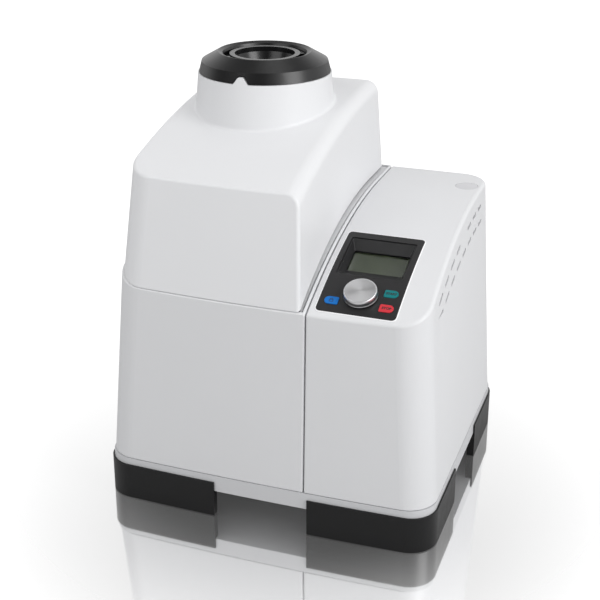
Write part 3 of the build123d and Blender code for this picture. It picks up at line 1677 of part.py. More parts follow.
# Rear panel of the right column with the fan, the mains inlet, the switch and the fuse drawer
bar_length = 2 * (fan_bore_radius + overrun)
plate_outer = back_inner - face_gap
plate_inner = plate_outer - rear_panel_thickness
switch_block_width = drawer_width + 2 * frame_border
switch_block_top = switch_level + rocker_height / 2 + frame_border
switch_block_bottom = switch_level - drawer_drop - drawer_height / 2 - frame_border
switch_block_length = switch_block_top - switch_block_bottom
switch_block_middle = (switch_block_top + switch_block_bottom) / 2
with BuildPart() as rear_panel:
    add(
        slab_box(
            (rear_panel_x - rear_panel_width / 2, plate_inner, rear_panel_low),
            (rear_panel_x + rear_panel_width / 2, plate_outer, rear_panel_low + rear_panel_height),
        )
    )
    with BuildSketch(Plane.XZ.offset(-plate_outer)):
        with Locations((rear_panel_x, fan_level)):
            Circle(fan_bore_radius)
            Circle(fan_bore_radius - guard_step, mode=Mode.SUBTRACT)
            Circle(fan_bore_radius - guard_step - guard_bar)
            Circle(fan_bore_radius - 2 * guard_step - guard_bar, mode=Mode.SUBTRACT)
            Rectangle(guard_bar, bar_length, mode=Mode.SUBTRACT)
            Rectangle(bar_length, guard_bar, mode=Mode.SUBTRACT)
        with Locations((inlet_x, inlet_level)):
            Rectangle(inlet_width + 2 * small_gap, inlet_height + 2 * small_gap)
        with Locations((switch_x, switch_block_middle)):
            Rectangle(switch_block_width + 2 * small_gap, switch_block_length + 2 * small_gap)
    extrude(amount=rear_panel_thickness, mode=Mode.SUBTRACT)
rear_panel.part.label = "rear_panel"
export_step(rear_panel.part, "parts/rear_panel.step")

fan_rear = plate_inner - face_gap
with BuildPart() as fan_frame:
    with BuildSketch(Plane.XZ.offset(-fan_rear)):
        with Locations((rear_panel_x, fan_level)):
            RectangleRounded(fan_size, fan_size, fan_corner_radius)
            Circle(fan_bore_radius, mode=Mode.SUBTRACT)
    extrude(amount=fan_depth)
    with BuildSketch(Plane.XZ.offset(-(fan_rear - fan_depth))):
        with Locations((rear_panel_x, fan_level)):
            Circle(fan_hub_radius)
            Rectangle(bar_length, guard_bar)
            Rectangle(guard_bar, bar_length)
    extrude(amount=-guard_bar)
fan_frame.part.label = "fan_frame"
export_step(fan_frame.part, "parts/fan_frame.step")

fan_front = fan_rear - fan_depth + guard_bar + fan_blade_gap
blade_depth = fan_rear - fan_rotor_gap - fan_front
blade_middle = fan_front + blade_depth / 2
with BuildPart() as fan_rotor:
    with BuildSketch(Plane.XZ.offset(-fan_front)):
        with Locations((rear_panel_x, fan_level)):
            Circle(fan_hub_radius)
    extrude(amount=-blade_depth)
    for blade in range(fan_blades):
        blade_turn = 360 / fan_blades * blade
        outward = Vector(math.cos(math.radians(blade_turn)), 0, math.sin(math.radians(blade_turn)))
        blade_plane = Plane(
            origin=Vector(rear_panel_x, blade_middle, fan_level) + outward * (fan_hub_radius - overrun),
            x_dir=(0, 1, 0),
            z_dir=outward,
        )
        with BuildSketch(blade_plane):
            Rectangle(blade_depth - 2 * fan_rotor_gap, fan_blade_thickness, rotation=fan_blade_pitch)
        extrude(amount=fan_bore_radius - fan_tip_gap - fan_hub_radius)
fan_rotor.part.label = "fan_rotor"
export_step(fan_rotor.part, "parts/fan_rotor.step")

plate_face = plate_outer + face_gap
with BuildPart() as mains_inlet:
    with BuildSketch(Plane.XZ.offset(-plate_face)):
        with Locations((inlet_x, inlet_level)):
            RectangleRounded(
                inlet_width + 2 * frame_border,
                inlet_height + 2 * frame_border,
                inlet_corner_radius,
            )
    extrude(amount=-inlet_flange)
    with BuildSketch(Plane.XZ.offset(-plate_face)):
        with Locations((inlet_x, inlet_level)):
            Rectangle(inlet_width, inlet_height)
    extrude(amount=inlet_depth)
    with BuildSketch(Plane.XZ.offset(-(plate_face + inlet_flange))):
        with Locations((inlet_x, inlet_level)):
            RectangleRounded(
                inlet_width - 2 * inlet_side_wall,
                inlet_height - 2 * inlet_top_wall,
                inlet_corner_radius,
            )
    extrude(amount=inlet_depth, mode=Mode.SUBTRACT)
    with BuildSketch(Plane.XZ.offset(-(plate_face + inlet_flange - inlet_depth))):
        with Locations(
            (inlet_x - inlet_pin_spread, inlet_level - inlet_pin_offset),
            (inlet_x, inlet_level + inlet_pin_offset),
            (inlet_x + inlet_pin_spread, inlet_level - inlet_pin_offset),
        ):
            Rectangle(inlet_pin_width, inlet_pin_height)
    extrude(amount=-inlet_pin_length)
mains_inlet.part.label = "mains_inlet"
export_step(mains_inlet.part, "parts/mains_inlet.step")

drawer_level = switch_level - drawer_drop
block_face = plate_face + inlet_flange
with BuildPart() as switch_frame:
    with BuildSketch(Plane.XZ.offset(-plate_face)):
        with Locations((switch_x, switch_block_middle)):
            RectangleRounded(
                switch_block_width + frame_border,
                switch_block_length + frame_border,
                inlet_corner_radius,
            )
    extrude(amount=-inlet_flange)
    with BuildSketch(Plane.XZ.offset(-plate_face)):
        with Locations((switch_x, switch_block_middle)):
            Rectangle(switch_block_width, switch_block_length)
    extrude(amount=inlet_depth)
    with BuildSketch(Plane.XZ.offset(-block_face)):
        with Locations((switch_x, switch_level)):
            Rectangle(rocker_width + 2 * small_gap, rocker_height + rocker_room)
        with Locations((switch_x, drawer_level)):
            Rectangle(drawer_width + 2 * small_gap, drawer_height + 2 * small_gap)
    extrude(amount=drawer_depth + small_gap, mode=Mode.SUBTRACT)
switch_frame.part.label = "switch_frame"
export_step(switch_frame.part, "parts/switch_frame.step")

rocker_y = block_face - rocker_sink
with BuildPart() as mains_rocker:
    with BuildSketch(Plane.YZ.offset(switch_x - rocker_width / 2)):
        with Locations((rocker_y, switch_level)):
            Rectangle(rocker_thickness, rocker_height, rotation=-rocker_tilt)
    extrude(amount=rocker_width)
    fillet(mains_rocker.edges().filter_by(Axis.X), radius=rocker_edge_radius)
mains_rocker.part.label = "mains_rocker"
export_step(mains_rocker.part, "parts/mains_rocker.step")

with BuildPart() as fuse_drawer:
    with BuildSketch(Plane.XZ.offset(-block_face - drawer_proud)):
        with Locations((switch_x, drawer_level)):
            Rectangle(drawer_width, drawer_height)
    extrude(amount=drawer_depth + drawer_proud)
    with BuildSketch(Plane.XY.offset(drawer_level + drawer_height / 2)):
        with Locations((switch_x, block_face - drawer_depth / 2)):
            SlotOverall(drawer_width - 2 * drawer_wall, drawer_height - 2 * drawer_wall)
    extrude(amount=-drawer_height + drawer_wall, mode=Mode.SUBTRACT)
fuse_drawer.part.label = "fuse_drawer"
export_step(fuse_drawer.part, "parts/fuse_drawer.step")
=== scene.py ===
"""Looks for the ultra centrifugal mill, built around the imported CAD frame, in metres."""
import json
import math

import bmesh
import bpy
from mathutils import Matrix, Vector


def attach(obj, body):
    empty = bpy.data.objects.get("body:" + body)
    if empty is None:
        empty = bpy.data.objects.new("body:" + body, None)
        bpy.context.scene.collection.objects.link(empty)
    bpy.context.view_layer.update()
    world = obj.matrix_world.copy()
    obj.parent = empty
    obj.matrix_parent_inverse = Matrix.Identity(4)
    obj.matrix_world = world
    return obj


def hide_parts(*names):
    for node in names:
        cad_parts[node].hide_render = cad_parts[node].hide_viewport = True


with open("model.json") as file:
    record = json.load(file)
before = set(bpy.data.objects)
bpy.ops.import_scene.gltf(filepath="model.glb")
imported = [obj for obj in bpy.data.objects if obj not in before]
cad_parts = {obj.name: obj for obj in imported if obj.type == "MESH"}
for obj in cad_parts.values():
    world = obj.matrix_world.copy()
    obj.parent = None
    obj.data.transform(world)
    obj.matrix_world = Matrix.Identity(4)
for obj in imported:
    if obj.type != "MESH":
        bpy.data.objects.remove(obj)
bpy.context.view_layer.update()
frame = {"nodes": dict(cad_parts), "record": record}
nodes = frame["nodes"]
mm = 0.001

# Camera: where the photograph was taken from
camera_place = Vector((453.3, -1321.6, 829.3)) * mm
camera_turn = 19.474
camera_pitch = 20.942
camera_lens = 73.31
camera_shift_y = -0.1

# Surroundings: evenly lit, and what shiny surfaces see in front and overhead
world_even = 0.58
world_top = 0.06
mirror_front = 0.12
mirror_above = 0.25

# Lamps
lamp_aim = (0, 0, 0.3)
key_lamp_place = (-0.75, -1.15, 1.45)
key_power = 7.0
side_lamp_place = (1.85, -0.6, 1.25)
side_power = 25.0
top_lamp_place = (-0.1, 0.62, 1.9)
top_lamp_aim = (0.05, -0.1, 0.3)
top_power = 1.0

# Floor: it mirrors the object close by and fades to plain white
floor_size = 14.0
floor_grey = 0.55
floor_lift = 0.78
floor_gloss = 0.06
mirror_near = 0.95
mirror_start = 0.20
mirror_end = 0.66

# Colours, as linear values
body_light = (0.73, 0.735, 0.75)
lid_light = (0.78, 0.785, 0.80)
base_light = (0.62, 0.625, 0.64)
panel_dark = (0.018, 0.0175, 0.0185)
ring_dark = (0.007, 0.007, 0.0075)
foot_dark = (0.0065, 0.0065, 0.007)
lcd_green = (0.112, 0.134, 0.078)
key_blue = (0.0, 0.15, 0.52)
key_teal = (0.0, 0.18, 0.19)
key_red = (0.62, 0.03, 0.045)

# Sloping top of the control column: an arc that runs into a level rear
slope_start = 0.110
slope_level = 0.3435
slope_radius = 0.625

# Control panel and the bead round it
panel_left = 0.061
panel_right = 0.1525
panel_front = -0.165
panel_rear = -0.036
panel_corner = 5.2 * mm
bead_gap = 0.3 * mm
bead_half_width = 0.75 * mm
bead_height = 0.62 * mm
bead_sunk = 0.3 * mm
bead_point_gap = 5 * mm

# Knob: its place on the panel and the axis that it turns round
knob_x = 0.1065
knob_y = -0.1395
knob_low = 2.1 * mm
knob_middle = Vector((0.1065, -0.1395, 0.2915))
knob_axis = Vector((0, -0.39922, 0.91685))
weld_distance = 1e-6

# Keys and the signs on them
key_face = 1.05 * mm
lock_key_spot = (0.0755, -0.1496)
start_key_spot = (0.1386, -0.1307)
stop_key_spot = (0.1386, -0.1508)
start_size = 4.2 * mm
stop_size = 4.4 * mm
word_height = 0.03 * mm
word_boldness = 0.19 * mm
sign_height = 0.04 * mm

# Flange beside the lid: its run along Y and its section under the sloping top
seam_inner = 0.0493
ledge_front = -0.1725
ledge_run = 0.3455
ledge_steps = 60
ledge_drop = 2.0 * mm
ledge_gap = 0.1 * mm
ledge_groove_width = 2.0 * mm
ledge_groove_depth = 3.0 * mm
ledge_depth = 5.0 * mm
ledge_low_level = 0.27
ledge_reach_low = 3.2 * mm
ledge_reach_more = 9.0 * mm


def connect(tree, socket, value):
    """Link an input to an output, or set it to a plain value."""
    if isinstance(value, bpy.types.NodeSocket):
        tree.links.new(value, socket)
    else:
        socket.default_value = value


def math_node(tree, operation, *values):
    """Result of a math node whose inputs are outputs or numbers."""
    node = tree.nodes.new("ShaderNodeMath")
    node.operation = operation
    for socket, value in zip(node.inputs, values):
        connect(tree, socket, value)
    return node.outputs[0]


def vector_node(tree, operation, *values):
    """Result of a vector math node whose inputs are outputs or vectors."""
    node = tree.nodes.new("ShaderNodeVectorMath")
    node.operation = operation
    for socket, value in zip(node.inputs, values):
        connect(tree, socket, value)
    return node.outputs["Value" if operation == "LENGTH" else "Vector"]


def carried(tree, value, low, high, to_low, to_high, kind="SMOOTHSTEP"):
    """A value carried from one range to another."""
    node = tree.nodes.new("ShaderNodeMapRange")
    node.interpolation_type = kind
    for name, number in (("From Min", low), ("From Max", high), ("To Min", to_low), ("To Max", to_high)):
        node.inputs[name].default_value = number
    tree.links.new(value, node.inputs["Value"])
    return node.outputs["Result"]


def node_tree(material):
    """The node tree of a material and the shader in it."""
    tree = material.node_tree
    return tree, tree.nodes["Principled BSDF"]


def new_material(name, colour, roughness, metallic=0.0, specular=0.5):
    """A material with uniform values set on the shader's own sockets."""
    material = bpy.data.materials.new(name)
    material.use_nodes = True
    tree, shader = node_tree(material)
    shader.inputs["Base Color"].default_value = (*colour, 1.0)
    shader.inputs["Roughness"].default_value = roughness
    shader.inputs["Metallic"].default_value = metallic
    shader.inputs["Specular IOR Level"].default_value = specular
    return material


def object_coordinates(tree):
    """Texture coordinates fixed to the object."""
    found = tree.nodes.get("Texture Coordinate")
    if found is None:
        found = tree.nodes.new("ShaderNodeTexCoord")
    return found.outputs["Object"]


def noise(tree, scale, detail, place=None):
    """Noise on the object's own coordinates, or on the place given."""
    texture = tree.nodes.new("ShaderNodeTexNoise")
    texture.inputs["Scale"].default_value = scale
    texture.inputs["Detail"].default_value = detail
    tree.links.new(place or object_coordinates(tree), texture.inputs["Vector"])
    return texture.outputs["Fac"]


def set_roughness(material, pattern, low, high):
    """Roughness that follows a pattern between two values."""
    tree, shader = node_tree(material)
    tree.links.new(carried(tree, pattern, 0.0, 1.0, low, high, "LINEAR"), shader.inputs["Roughness"])


def add_bump(material, pattern, height):
    """Bump that follows a pattern; height in metres."""
    tree, shader = node_tree(material)
    bump = tree.nodes.new("ShaderNodeBump")
    bump.inputs["Distance"].default_value = height
    tree.links.new(pattern, bump.inputs["Height"])
    tree.links.new(bump.outputs["Normal"], shader.inputs["Normal"])


def add_grain(material, scale, height):
    """Fine surface grain as bump; height in metres."""
    add_bump(material, noise(material.node_tree, scale, 2.0), height)


def vary_colour(material, colour, other, scale):
    """Slow change between two colours over the surface."""
    tree, shader = node_tree(material)
    blend = tree.nodes.new("ShaderNodeMix")
    blend.data_type = "RGBA"
    blend.inputs[6].default_value = (*colour, 1.0)
    blend.inputs[7].default_value = (*other, 1.0)
    tree.links.new(noise(tree, scale, 3.0), blend.inputs[0])
    tree.links.new(blend.outputs[2], shader.inputs["Base Color"])


def vary_roughness(material, low, high, scale):
    """Roughness that drifts between two values."""
    set_roughness(material, noise(material.node_tree, scale, 4.0), low, high)


def shade(colour, factor):
    """A colour made darker or lighter."""
    return tuple(min(1.0, value * factor) for value in colour)


def paint(name, colour, roughness=0.42):
    """Satin powder coat with a fine grain."""
    material = new_material(name, colour, roughness)
    vary_colour(material, shade(colour, 0.985), shade(colour, 1.015), 9.0)
    vary_roughness(material, roughness - 0.04, roughness + 0.05, 40.0)
    add_grain(material, 900.0, 0.00006)
    return material


def moulded(name, colour, roughness=0.42, specular=0.5):
    """Moulded plastic with a finer grain and slight shade changes."""
    material = new_material(name, colour, roughness, specular=specular)
    vary_colour(material, shade(colour, 0.9), shade(colour, 1.12), 25.0)
    vary_roughness(material, roughness - 0.05, roughness + 0.06, 60.0)
    add_grain(material, 1600.0, 0.00004)
    return material


def brushed(name, colour, roughness, stretch):
    """Brushed metal: noise drawn out along one direction as bump and roughness."""
    material = new_material(name, colour, roughness, metallic=1.0)
    tree = material.node_tree
    mapping = tree.nodes.new("ShaderNodeMapping")
    mapping.inputs["Scale"].default_value = stretch
    tree.links.new(object_coordinates(tree), mapping.inputs["Vector"])
    scratches = noise(tree, 60.0, 6.0, mapping.outputs["Vector"])
    set_roughness(material, scratches, roughness - 0.08, roughness + 0.12)
    add_bump(material, scratches, 0.00003)
    return material


def turned_metal(name, colour, roughness):
    """Turned metal: fine rings round the knob's axis, which draw highlights out towards its rim."""
    material = new_material(name, colour, roughness, metallic=1.0)
    tree, shader = node_tree(material)
    shader.inputs["Anisotropic"].default_value = 0.75
    from_middle = vector_node(tree, "SUBTRACT", object_coordinates(tree), knob_middle)
    around = vector_node(tree, "CROSS_PRODUCT", from_middle, knob_axis)
    tree.links.new(vector_node(tree, "NORMALIZE", around), shader.inputs["Tangent"])
    rings = tree.nodes.new("ShaderNodeTexNoise")
    rings.noise_dimensions = "1D"
    rings.inputs["Scale"].default_value = 4000.0
    rings.inputs["Detail"].default_value = 2.0
    tree.links.new(vector_node(tree, "LENGTH", around), rings.inputs["W"])
    set_roughness(material, rings.outputs["Fac"], roughness - 0.05, roughness + 0.08)
    add_bump(material, rings.outputs["Fac"], 0.000004)
    return material


def clear_glass(name, colour):
    """Clear cover glass over the display."""
    material = new_material(name, colour, 0.08)
    shader = node_tree(material)[1]
    shader.inputs["Transmission Weight"].default_value = 1.0
    shader.inputs["IOR"].default_value = 1.46
    vary_roughness(material, 0.05, 0.12, 30.0)
    return material


materials = {
    "body_paint": paint("body_paint", body_light),
    "lid_paint": paint("lid_paint", lid_light, 0.4),
    "base_paint": paint("base_paint", base_light),
    "foot_plastic": moulded("foot_plastic", foot_dark, 0.35, 0.35),
    "pad_rubber": moulded("pad_rubber", (0.02, 0.02, 0.02), 0.8),
    "ring_plastic": moulded("ring_plastic", ring_dark, 0.3),
    "insert_plastic": moulded("insert_plastic", ring_dark, 0.24),
    "steel": brushed("steel", (0.62, 0.62, 0.61), 0.3, (1, 1, 14)),
    "shaft_steel": brushed("shaft_steel", (0.66, 0.66, 0.66), 0.2, (1, 1, 20)),
    "hinge_steel": brushed("hinge_steel", (0.5, 0.5, 0.51), 0.35, (12, 1, 1)),
    "motor_alloy": brushed("motor_alloy", (0.5, 0.51, 0.52), 0.5, (1, 1, 1)),
    "motor_iron": brushed("motor_iron", (0.22, 0.22, 0.23), 0.55, (1, 1, 40)),
    "seal_rubber": moulded("seal_rubber", (0.03, 0.03, 0.03), 0.7),
    "panel_plastic": moulded("panel_plastic", panel_dark, 0.45, 0.4),
    "frame_plastic": moulded("frame_plastic", (0.009, 0.009, 0.01), 0.4),
    "board": moulded("board", (0.01, 0.09, 0.04), 0.45),
    "lcd": moulded("lcd", lcd_green, 0.35),
    "glass": clear_glass("glass", (0.9, 0.93, 0.9)),
    "knob_metal": turned_metal("knob_metal", (0.82, 0.82, 0.83), 0.34),
    "key_blue": moulded("key_blue", key_blue, 0.4, 0.3),
    "key_teal": moulded("key_teal", key_teal, 0.4, 0.3),
    "key_red": moulded("key_red", key_red, 0.4, 0.3),
    "cap_plastic": moulded("cap_plastic", (0.6, 0.6, 0.62), 0.4),
    # painted highlight: the panel bead is near-white, lighter than the casing paint, standing for the
    # highlight on the casing's rounded lip
    "bead_painted_highlight": paint("bead_painted_highlight", (0.93, 0.93, 0.94), 0.3),
    "black_plastic": moulded("black_plastic", (0.02, 0.02, 0.021), 0.45),
    "converter_metal": brushed("converter_metal", (0.55, 0.56, 0.57), 0.4, (1, 10, 1)),
}

for part in frame["record"]["subparts"]:
    piece = nodes[part["node"]]
    piece.data.materials.clear()
    piece.data.materials.append(materials[part["material_slot"]])


def slope_height(y):
    """Height of the sloping top at a place along Y."""
    ahead = max(0.0, slope_start - y)
    return slope_level - slope_radius + math.sqrt(slope_radius**2 - ahead**2)


def slope_normal(y):
    """Direction straight out of the sloping top."""
    lean = math.asin(max(0.0, slope_start - y) / slope_radius)
    return Vector((0, -math.sin(lean), math.cos(lean)))


def slope_matrix(x, y):
    """Place on the sloping top, with its z axis straight out of it and its y axis up the slope."""
    out = slope_normal(y)
    across = Vector((1, 0, 0))
    up = out.cross(across)
    turn = Matrix((across, up, out)).transposed().to_4x4()
    return Matrix.Translation((x, y, slope_height(y))) @ turn


def key_place(x, y):
    """Place on a key's face: the keys lie on the plane under the knob."""
    base = slope_matrix(knob_x, knob_y)
    up = (y - knob_y) / slope_normal(knob_y).z
    return base @ Matrix.Translation((x - knob_x, up, key_face))


def add_to_scene(name, data):
    """A new object in the scene that shows a mesh, curve, camera or lamp."""
    added = bpy.data.objects.new(name, data)
    bpy.context.scene.collection.objects.link(added)
    return added


def clean(mesh, weld=0.0):
    """Turn a mesh's faces outward, after merging points nearer than the weld if one is given."""
    shape = bmesh.new()
    shape.from_mesh(mesh)
    if weld:
        bmesh.ops.remove_doubles(shape, verts=shape.verts, dist=weld)
    bmesh.ops.recalc_face_normals(shape, faces=shape.faces)
    shape.to_mesh(mesh)
    shape.free()


def make_object(name, points, faces, body, slot, smooth=True, look=None):
    """A mesh piece that rides on a body, with the material of the named slot, or with the given look in its
    place.
    """
    mesh = bpy.data.meshes.new(name)
    mesh.from_pydata(points, [], faces)
    mesh.materials.append(materials[look or slot])
    mesh.validate()
    clean(mesh)
    for face in mesh.polygons:
        face.use_smooth = smooth
    piece = add_to_scene(name, mesh)
    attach(piece, body)
    return piece


def sweep(rings, closed):
    """Points and faces of a skin over rings of points, the last joined to the first if closed."""
    count = len(rings[0])
    points = [point for ring in rings for point in ring]
    faces = []
    for turn in range(len(rings) if closed else len(rings) - 1):
        here = turn * count
        there = ((turn + 1) % len(rings)) * count
        for side in range(count):
            following = (side + 1) % count
            faces.append((here + side, here + following, there + following, there + side))
    if not closed:
        faces.append(tuple(range(count)))
        last = (len(rings) - 1) * count
        faces.append(tuple(last + side for side in reversed(range(count))))
    return points, faces


def lathe(profile, place, steps=96):
    """Points and faces of a closed profile of (radius, height) turned round a place's z axis."""
    rings = []
    for step in range(steps):
        angle = 2 * math.pi * step / steps
        across, along = math.cos(angle), math.sin(angle)
        rings.append([place @ Vector((radius * across, radius * along, level)) for radius, level in profile])
    return sweep(rings, True)


def rounded_outline(left, right, front, rear, corner, steps=8):
    """Points round a rectangle with rounded corners, with the direction straight out of it at each."""
    corners = (
        (right - corner, rear - corner, 0),
        (left + corner, rear - corner, 90),
        (left + corner, front + corner, 180),
        (right - corner, front + corner, 270),
    )
    outline = []
    for x, y, turn in corners:
        for step in range(steps + 1):
            angle = math.radians(turn + 90 * step / steps)
            outline.append((x + corner * math.cos(angle), y + corner * math.sin(angle), angle))
    return outline


def fill_straights(outline, longest):
    """The same outline with points added on its straight sides, so that it can follow a curve."""
    filled = []
    for this, following in zip(outline, outline[1:] + outline[:1]):
        filled.append(this)
        span = math.hypot(following[0] - this[0], following[1] - this[1])
        parts = int(span / longest)
        for part in range(1, parts + 1):
            share = part / (parts + 1)
            x = this[0] + (following[0] - this[0]) * share
            y = this[1] + (following[1] - this[1]) * share
            filled.append((x, y, this[2]))
    return filled


def panel_bead():
    """Fine bead round the control panel, coloured near-white and lighter than the casing, as a painted
    highlight on the casing's rounded lip.
    """
    outline = rounded_outline(
        panel_left - bead_gap,
        panel_right + bead_gap,
        panel_front - bead_gap,
        panel_rear + bead_gap,
        panel_corner,
    )
    rings = []
    for x, y, angle in fill_straights(outline, bead_point_gap):
        out = slope_normal(y)
        level = Vector((x, y, slope_height(y)))
        beside = Vector((math.cos(angle), 0, 0)) + math.sin(angle) * out.cross(Vector((1, 0, 0)))
        ring = []
        for step in range(9):
            turn = math.pi * step / 8
            across = bead_half_width * math.cos(turn)
            ring.append(level + beside * across + out * (bead_height * math.sin(turn)))
        ring.append(level - beside * bead_half_width - out * bead_sunk)
        ring.append(level + beside * bead_half_width - out * bead_sunk)
        rings.append(ring)
    points, faces = sweep(rings, True)
    # painted highlight: the bead takes the near-white look in place of the casing's own paint
    return make_object("panel_bead", points, faces, "base", "body_paint", look="bead_painted_highlight")


def knob_dial():
    """Turned knob with a shallow dish on top, a rounded edge and a fine groove near its foot."""
    foot = [(0.0, 0.4), (17.8, 0.4), (18.5, 0.0), (19.0, 0.3), (19.0, 1.3)]
    groove = [(18.72, 1.5), (18.72, 1.8), (18.95, 2.0)]
    rounding = 1.5
    edge = [(18.7, 9.0 - rounding - 0.3)]
    for step in range(7):
        angle = math.radians(90 * step / 6)
        across = 18.6 - rounding + rounding * math.cos(angle)
        edge.append((across, 8.9 - rounding + rounding * math.sin(angle)))
    dish = [(16.4, 8.86), (12.0, 8.76), (6.0, 8.7), (0.0, 8.68)]
    profile = [(radius * mm, level * mm) for radius, level in foot + groove + edge + dish]
    place = slope_matrix(knob_x, knob_y) @ Matrix.Translation((0, 0, knob_low))
    points, faces = lathe(profile, place)
    knob = make_object("knob_dial", points, faces, "knob", "knob_metal")
    clean(knob.data, weld_distance)
    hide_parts("knob")
    return knob


def ledge_reach(y):
    """How far the flange reaches under the lid at a place along Y."""
    share = (slope_height(y) - ledge_low_level) / (slope_level - ledge_low_level)
    return ledge_reach_low + ledge_reach_more * share


def seam_ledge():
    """Flange inside the left casing's rim that closes the gap beside the lid, with a groove along the rim."""
    rings = []
    for step in range(ledge_steps + 1):
        y = ledge_front + ledge_run * step / ledge_steps
        top = slope_height(y) - ledge_drop
        inner = seam_inner - ledge_reach(y)
        outer = seam_inner - ledge_gap
        groove = outer - ledge_groove_width
        rings.append([
            Vector((inner, y, top)),
            Vector((groove, y, top)),
            Vector((groove, y, top - ledge_groove_depth)),
            Vector((outer, y, top - ledge_groove_depth)),
            Vector((outer, y, top - ledge_depth)),
            Vector((inner, y, top - ledge_depth)),
        ])
    points, faces = sweep(rings, False)
    return make_object("seam_ledge", points, faces, "base", "body_paint", smooth=False)


def legend(name, words, place, size, body):
    """Short generic word lying on a key."""
    data = bpy.data.curves.new(name, "FONT")
    data.body = words
    data.size = size
    data.align_x = "CENTER"
    data.align_y = "CENTER"
    data.extrude = word_height
    data.offset = word_boldness
    lettering = add_to_scene(name, data)
    lettering.matrix_world = place
    data.materials.append(materials["black_plastic"])
    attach(lettering, body)
    return lettering


def stroke(place, outer, inner):
    """Section of a raised line that lies on a key, between two points on the key's face."""
    lift = Vector((0, 0, sign_height))
    return [place @ outer, place @ (outer + lift), place @ (inner + lift), place @ inner]


def padlock(place, body):
    """Padlock sign: a body drawn in outline and a bow over it."""
    bow = []
    for step in range(13):
        angle = math.radians(180 * step / 12)
        centre = Vector((1.5 * math.cos(angle), 0.7 + 1.8 * math.sin(angle), 0)) * mm
        half = Vector((math.cos(angle), math.sin(angle), 0)) * 0.34 * mm
        bow.append(stroke(place, centre + half, centre - half))
    points, faces = sweep(bow, False)
    block = []
    for across, along in ((-1, -1), (1, -1), (1, 1), (-1, 1)):
        outer = Vector((2.3 * across, 1.8 * along - 0.8, 0)) * mm
        inner = Vector((1.7 * across, 1.2 * along - 0.8, 0)) * mm
        block.append(stroke(place, outer, inner))
    more, sides = sweep(block, True)
    offset = len(points)
    points += more
    faces += [tuple(number + offset for number in face) for face in sides]
    return make_object("padlock_sign", points, faces, body, "black_plastic", smooth=False)


def make_camera():
    """Camera at the photograph's place."""
    data = bpy.data.cameras.new("camera")
    data.sensor_width = 36.0
    data.lens = camera_lens
    data.shift_y = camera_shift_y
    data.clip_end = 50.0
    camera = add_to_scene("camera", data)
    camera.location = camera_place
    camera.rotation_euler = (math.radians(90 - camera_pitch), 0, math.radians(camera_turn))
    bpy.context.scene.camera = camera


def area_light(name, place, target, size_x, size_y, power):
    """Soft rectangular light aimed at a point."""
    data = bpy.data.lights.new(name, "AREA")
    data.shape = "RECTANGLE"
    data.size = size_x
    data.size_y = size_y
    data.energy = power
    lamp = add_to_scene(name, data)
    lamp.location = place
    lamp.rotation_euler = (Vector(target) - Vector(place)).to_track_quat("-Z", "Y").to_euler()
    return lamp


def make_world():
    """Even light, a white backdrop for the camera, and darker front and top for what shines."""
    world = bpy.data.worlds.new("studio")
    world.use_nodes = True
    tree = world.node_tree
    place = tree.nodes.new("ShaderNodeTexCoord")
    axes = tree.nodes.new("ShaderNodeSeparateXYZ")
    tree.links.new(place.outputs["Generated"], axes.inputs[0])
    above = math_node(tree, "MAXIMUM", axes.outputs["Z"], 0.0)
    lit = math_node(tree, "ADD", world_even, math_node(tree, "MULTIPLY", above, world_top))
    behind = carried(tree, axes.outputs["Y"], -0.45, 0.15, mirror_front, 1.0)
    beside = carried(tree, axes.outputs["X"], 0.2, 0.75, 0.0, 1.0)
    overhead = carried(tree, axes.outputs["Z"], 0.42, 0.8, 1.0, mirror_above)
    mirrored = math_node(tree, "MULTIPLY", math_node(tree, "MAXIMUM", behind, beside), overhead)
    path = tree.nodes.new("ShaderNodeLightPath")
    clear = math_node(tree, "MAXIMUM", path.outputs["Is Glossy Ray"], path.outputs["Is Transmission Ray"])
    matt = math_node(tree, "MULTIPLY", math_node(tree, "SUBTRACT", 1.0, clear), lit)
    unseen = math_node(tree, "ADD", matt, math_node(tree, "MULTIPLY", clear, mirrored))
    strength = math_node(tree, "MAXIMUM", path.outputs["Is Camera Ray"], unseen)
    background = tree.nodes["Background"]
    background.inputs["Color"].default_value = (1, 1, 1, 1)
    tree.links.new(strength, background.inputs["Strength"])
    bpy.context.scene.world = world


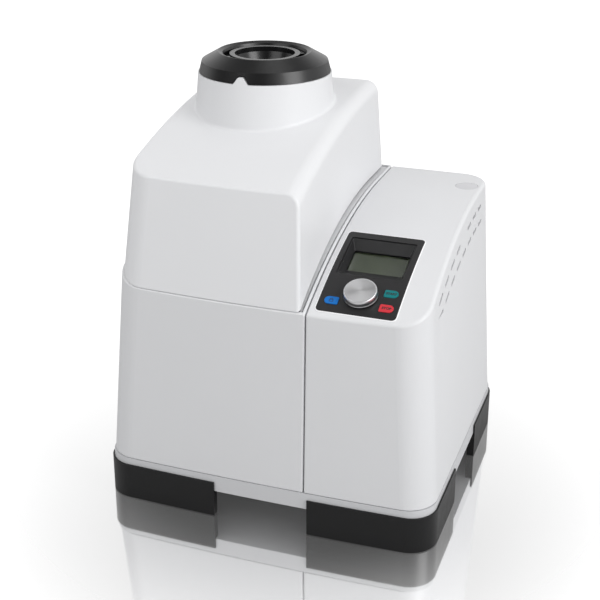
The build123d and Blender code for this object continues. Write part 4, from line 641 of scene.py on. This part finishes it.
def floor_material():
    """White floor that mirrors the object close by, keeps its shadow and is white where it is seen."""
    material = bpy.data.materials.new("floor")
    material.use_nodes = True
    tree = material.node_tree
    tree.nodes.remove(tree.nodes["Principled BSDF"])
    seen = tree.nodes.new("ShaderNodeLightPath").outputs["Is Camera Ray"]
    matt = tree.nodes.new("ShaderNodeBsdfDiffuse")
    matt.inputs["Color"].default_value = (floor_grey, floor_grey, floor_grey, 1)
    glow = tree.nodes.new("ShaderNodeEmission")
    glow.inputs["Color"].default_value = (1, 1, 1, 1)
    tree.links.new(math_node(tree, "MULTIPLY", seen, floor_lift), glow.inputs["Strength"])
    both = tree.nodes.new("ShaderNodeAddShader")
    tree.links.new(matt.outputs[0], both.inputs[0])
    tree.links.new(glow.outputs[0], both.inputs[1])
    gloss = tree.nodes.new("ShaderNodeBsdfGlossy")
    gloss.inputs["Color"].default_value = (1, 1, 1, 1)
    gloss.inputs["Roughness"].default_value = floor_gloss
    reach = vector_node(tree, "LENGTH", object_coordinates(tree))
    fade = carried(tree, reach, mirror_start, mirror_end, mirror_near, 0.0)
    mix = tree.nodes.new("ShaderNodeMixShader")
    tree.links.new(math_node(tree, "MULTIPLY", fade, seen), mix.inputs[0])
    tree.links.new(both.outputs[0], mix.inputs[1])
    tree.links.new(gloss.outputs[0], mix.inputs[2])
    tree.links.new(mix.outputs[0], tree.nodes["Material Output"].inputs["Surface"])
    return material


def make_floor():
    """Plain white floor."""
    mesh = bpy.data.meshes.new("floor")
    half = floor_size / 2
    corners = [(-half, -half, 0), (half, -half, 0), (half, half, 0), (-half, half, 0)]
    mesh.from_pydata(corners, [], [(0, 1, 2, 3)])
    floor = add_to_scene("floor", mesh)
    mesh.materials.append(floor_material())


panel_bead()
knob_dial()
seam_ledge()
padlock(key_place(*lock_key_spot), "lock_key")
legend("start_word", "START", key_place(*start_key_spot), start_size, "start_key")
legend("stop_word", "STOP", key_place(*stop_key_spot), stop_size, "stop_key")

make_camera()
make_world()
make_floor()
area_light("key_light", key_lamp_place, lamp_aim, 1.2, 1.0, key_power)
area_light("side_light", side_lamp_place, lamp_aim, 1.2, 1.3, side_power)
area_light("top_light", top_lamp_place, top_lamp_aim, 0.5, 0.5, top_power)

bpy.context.scene.view_settings.view_transform = "Standard"
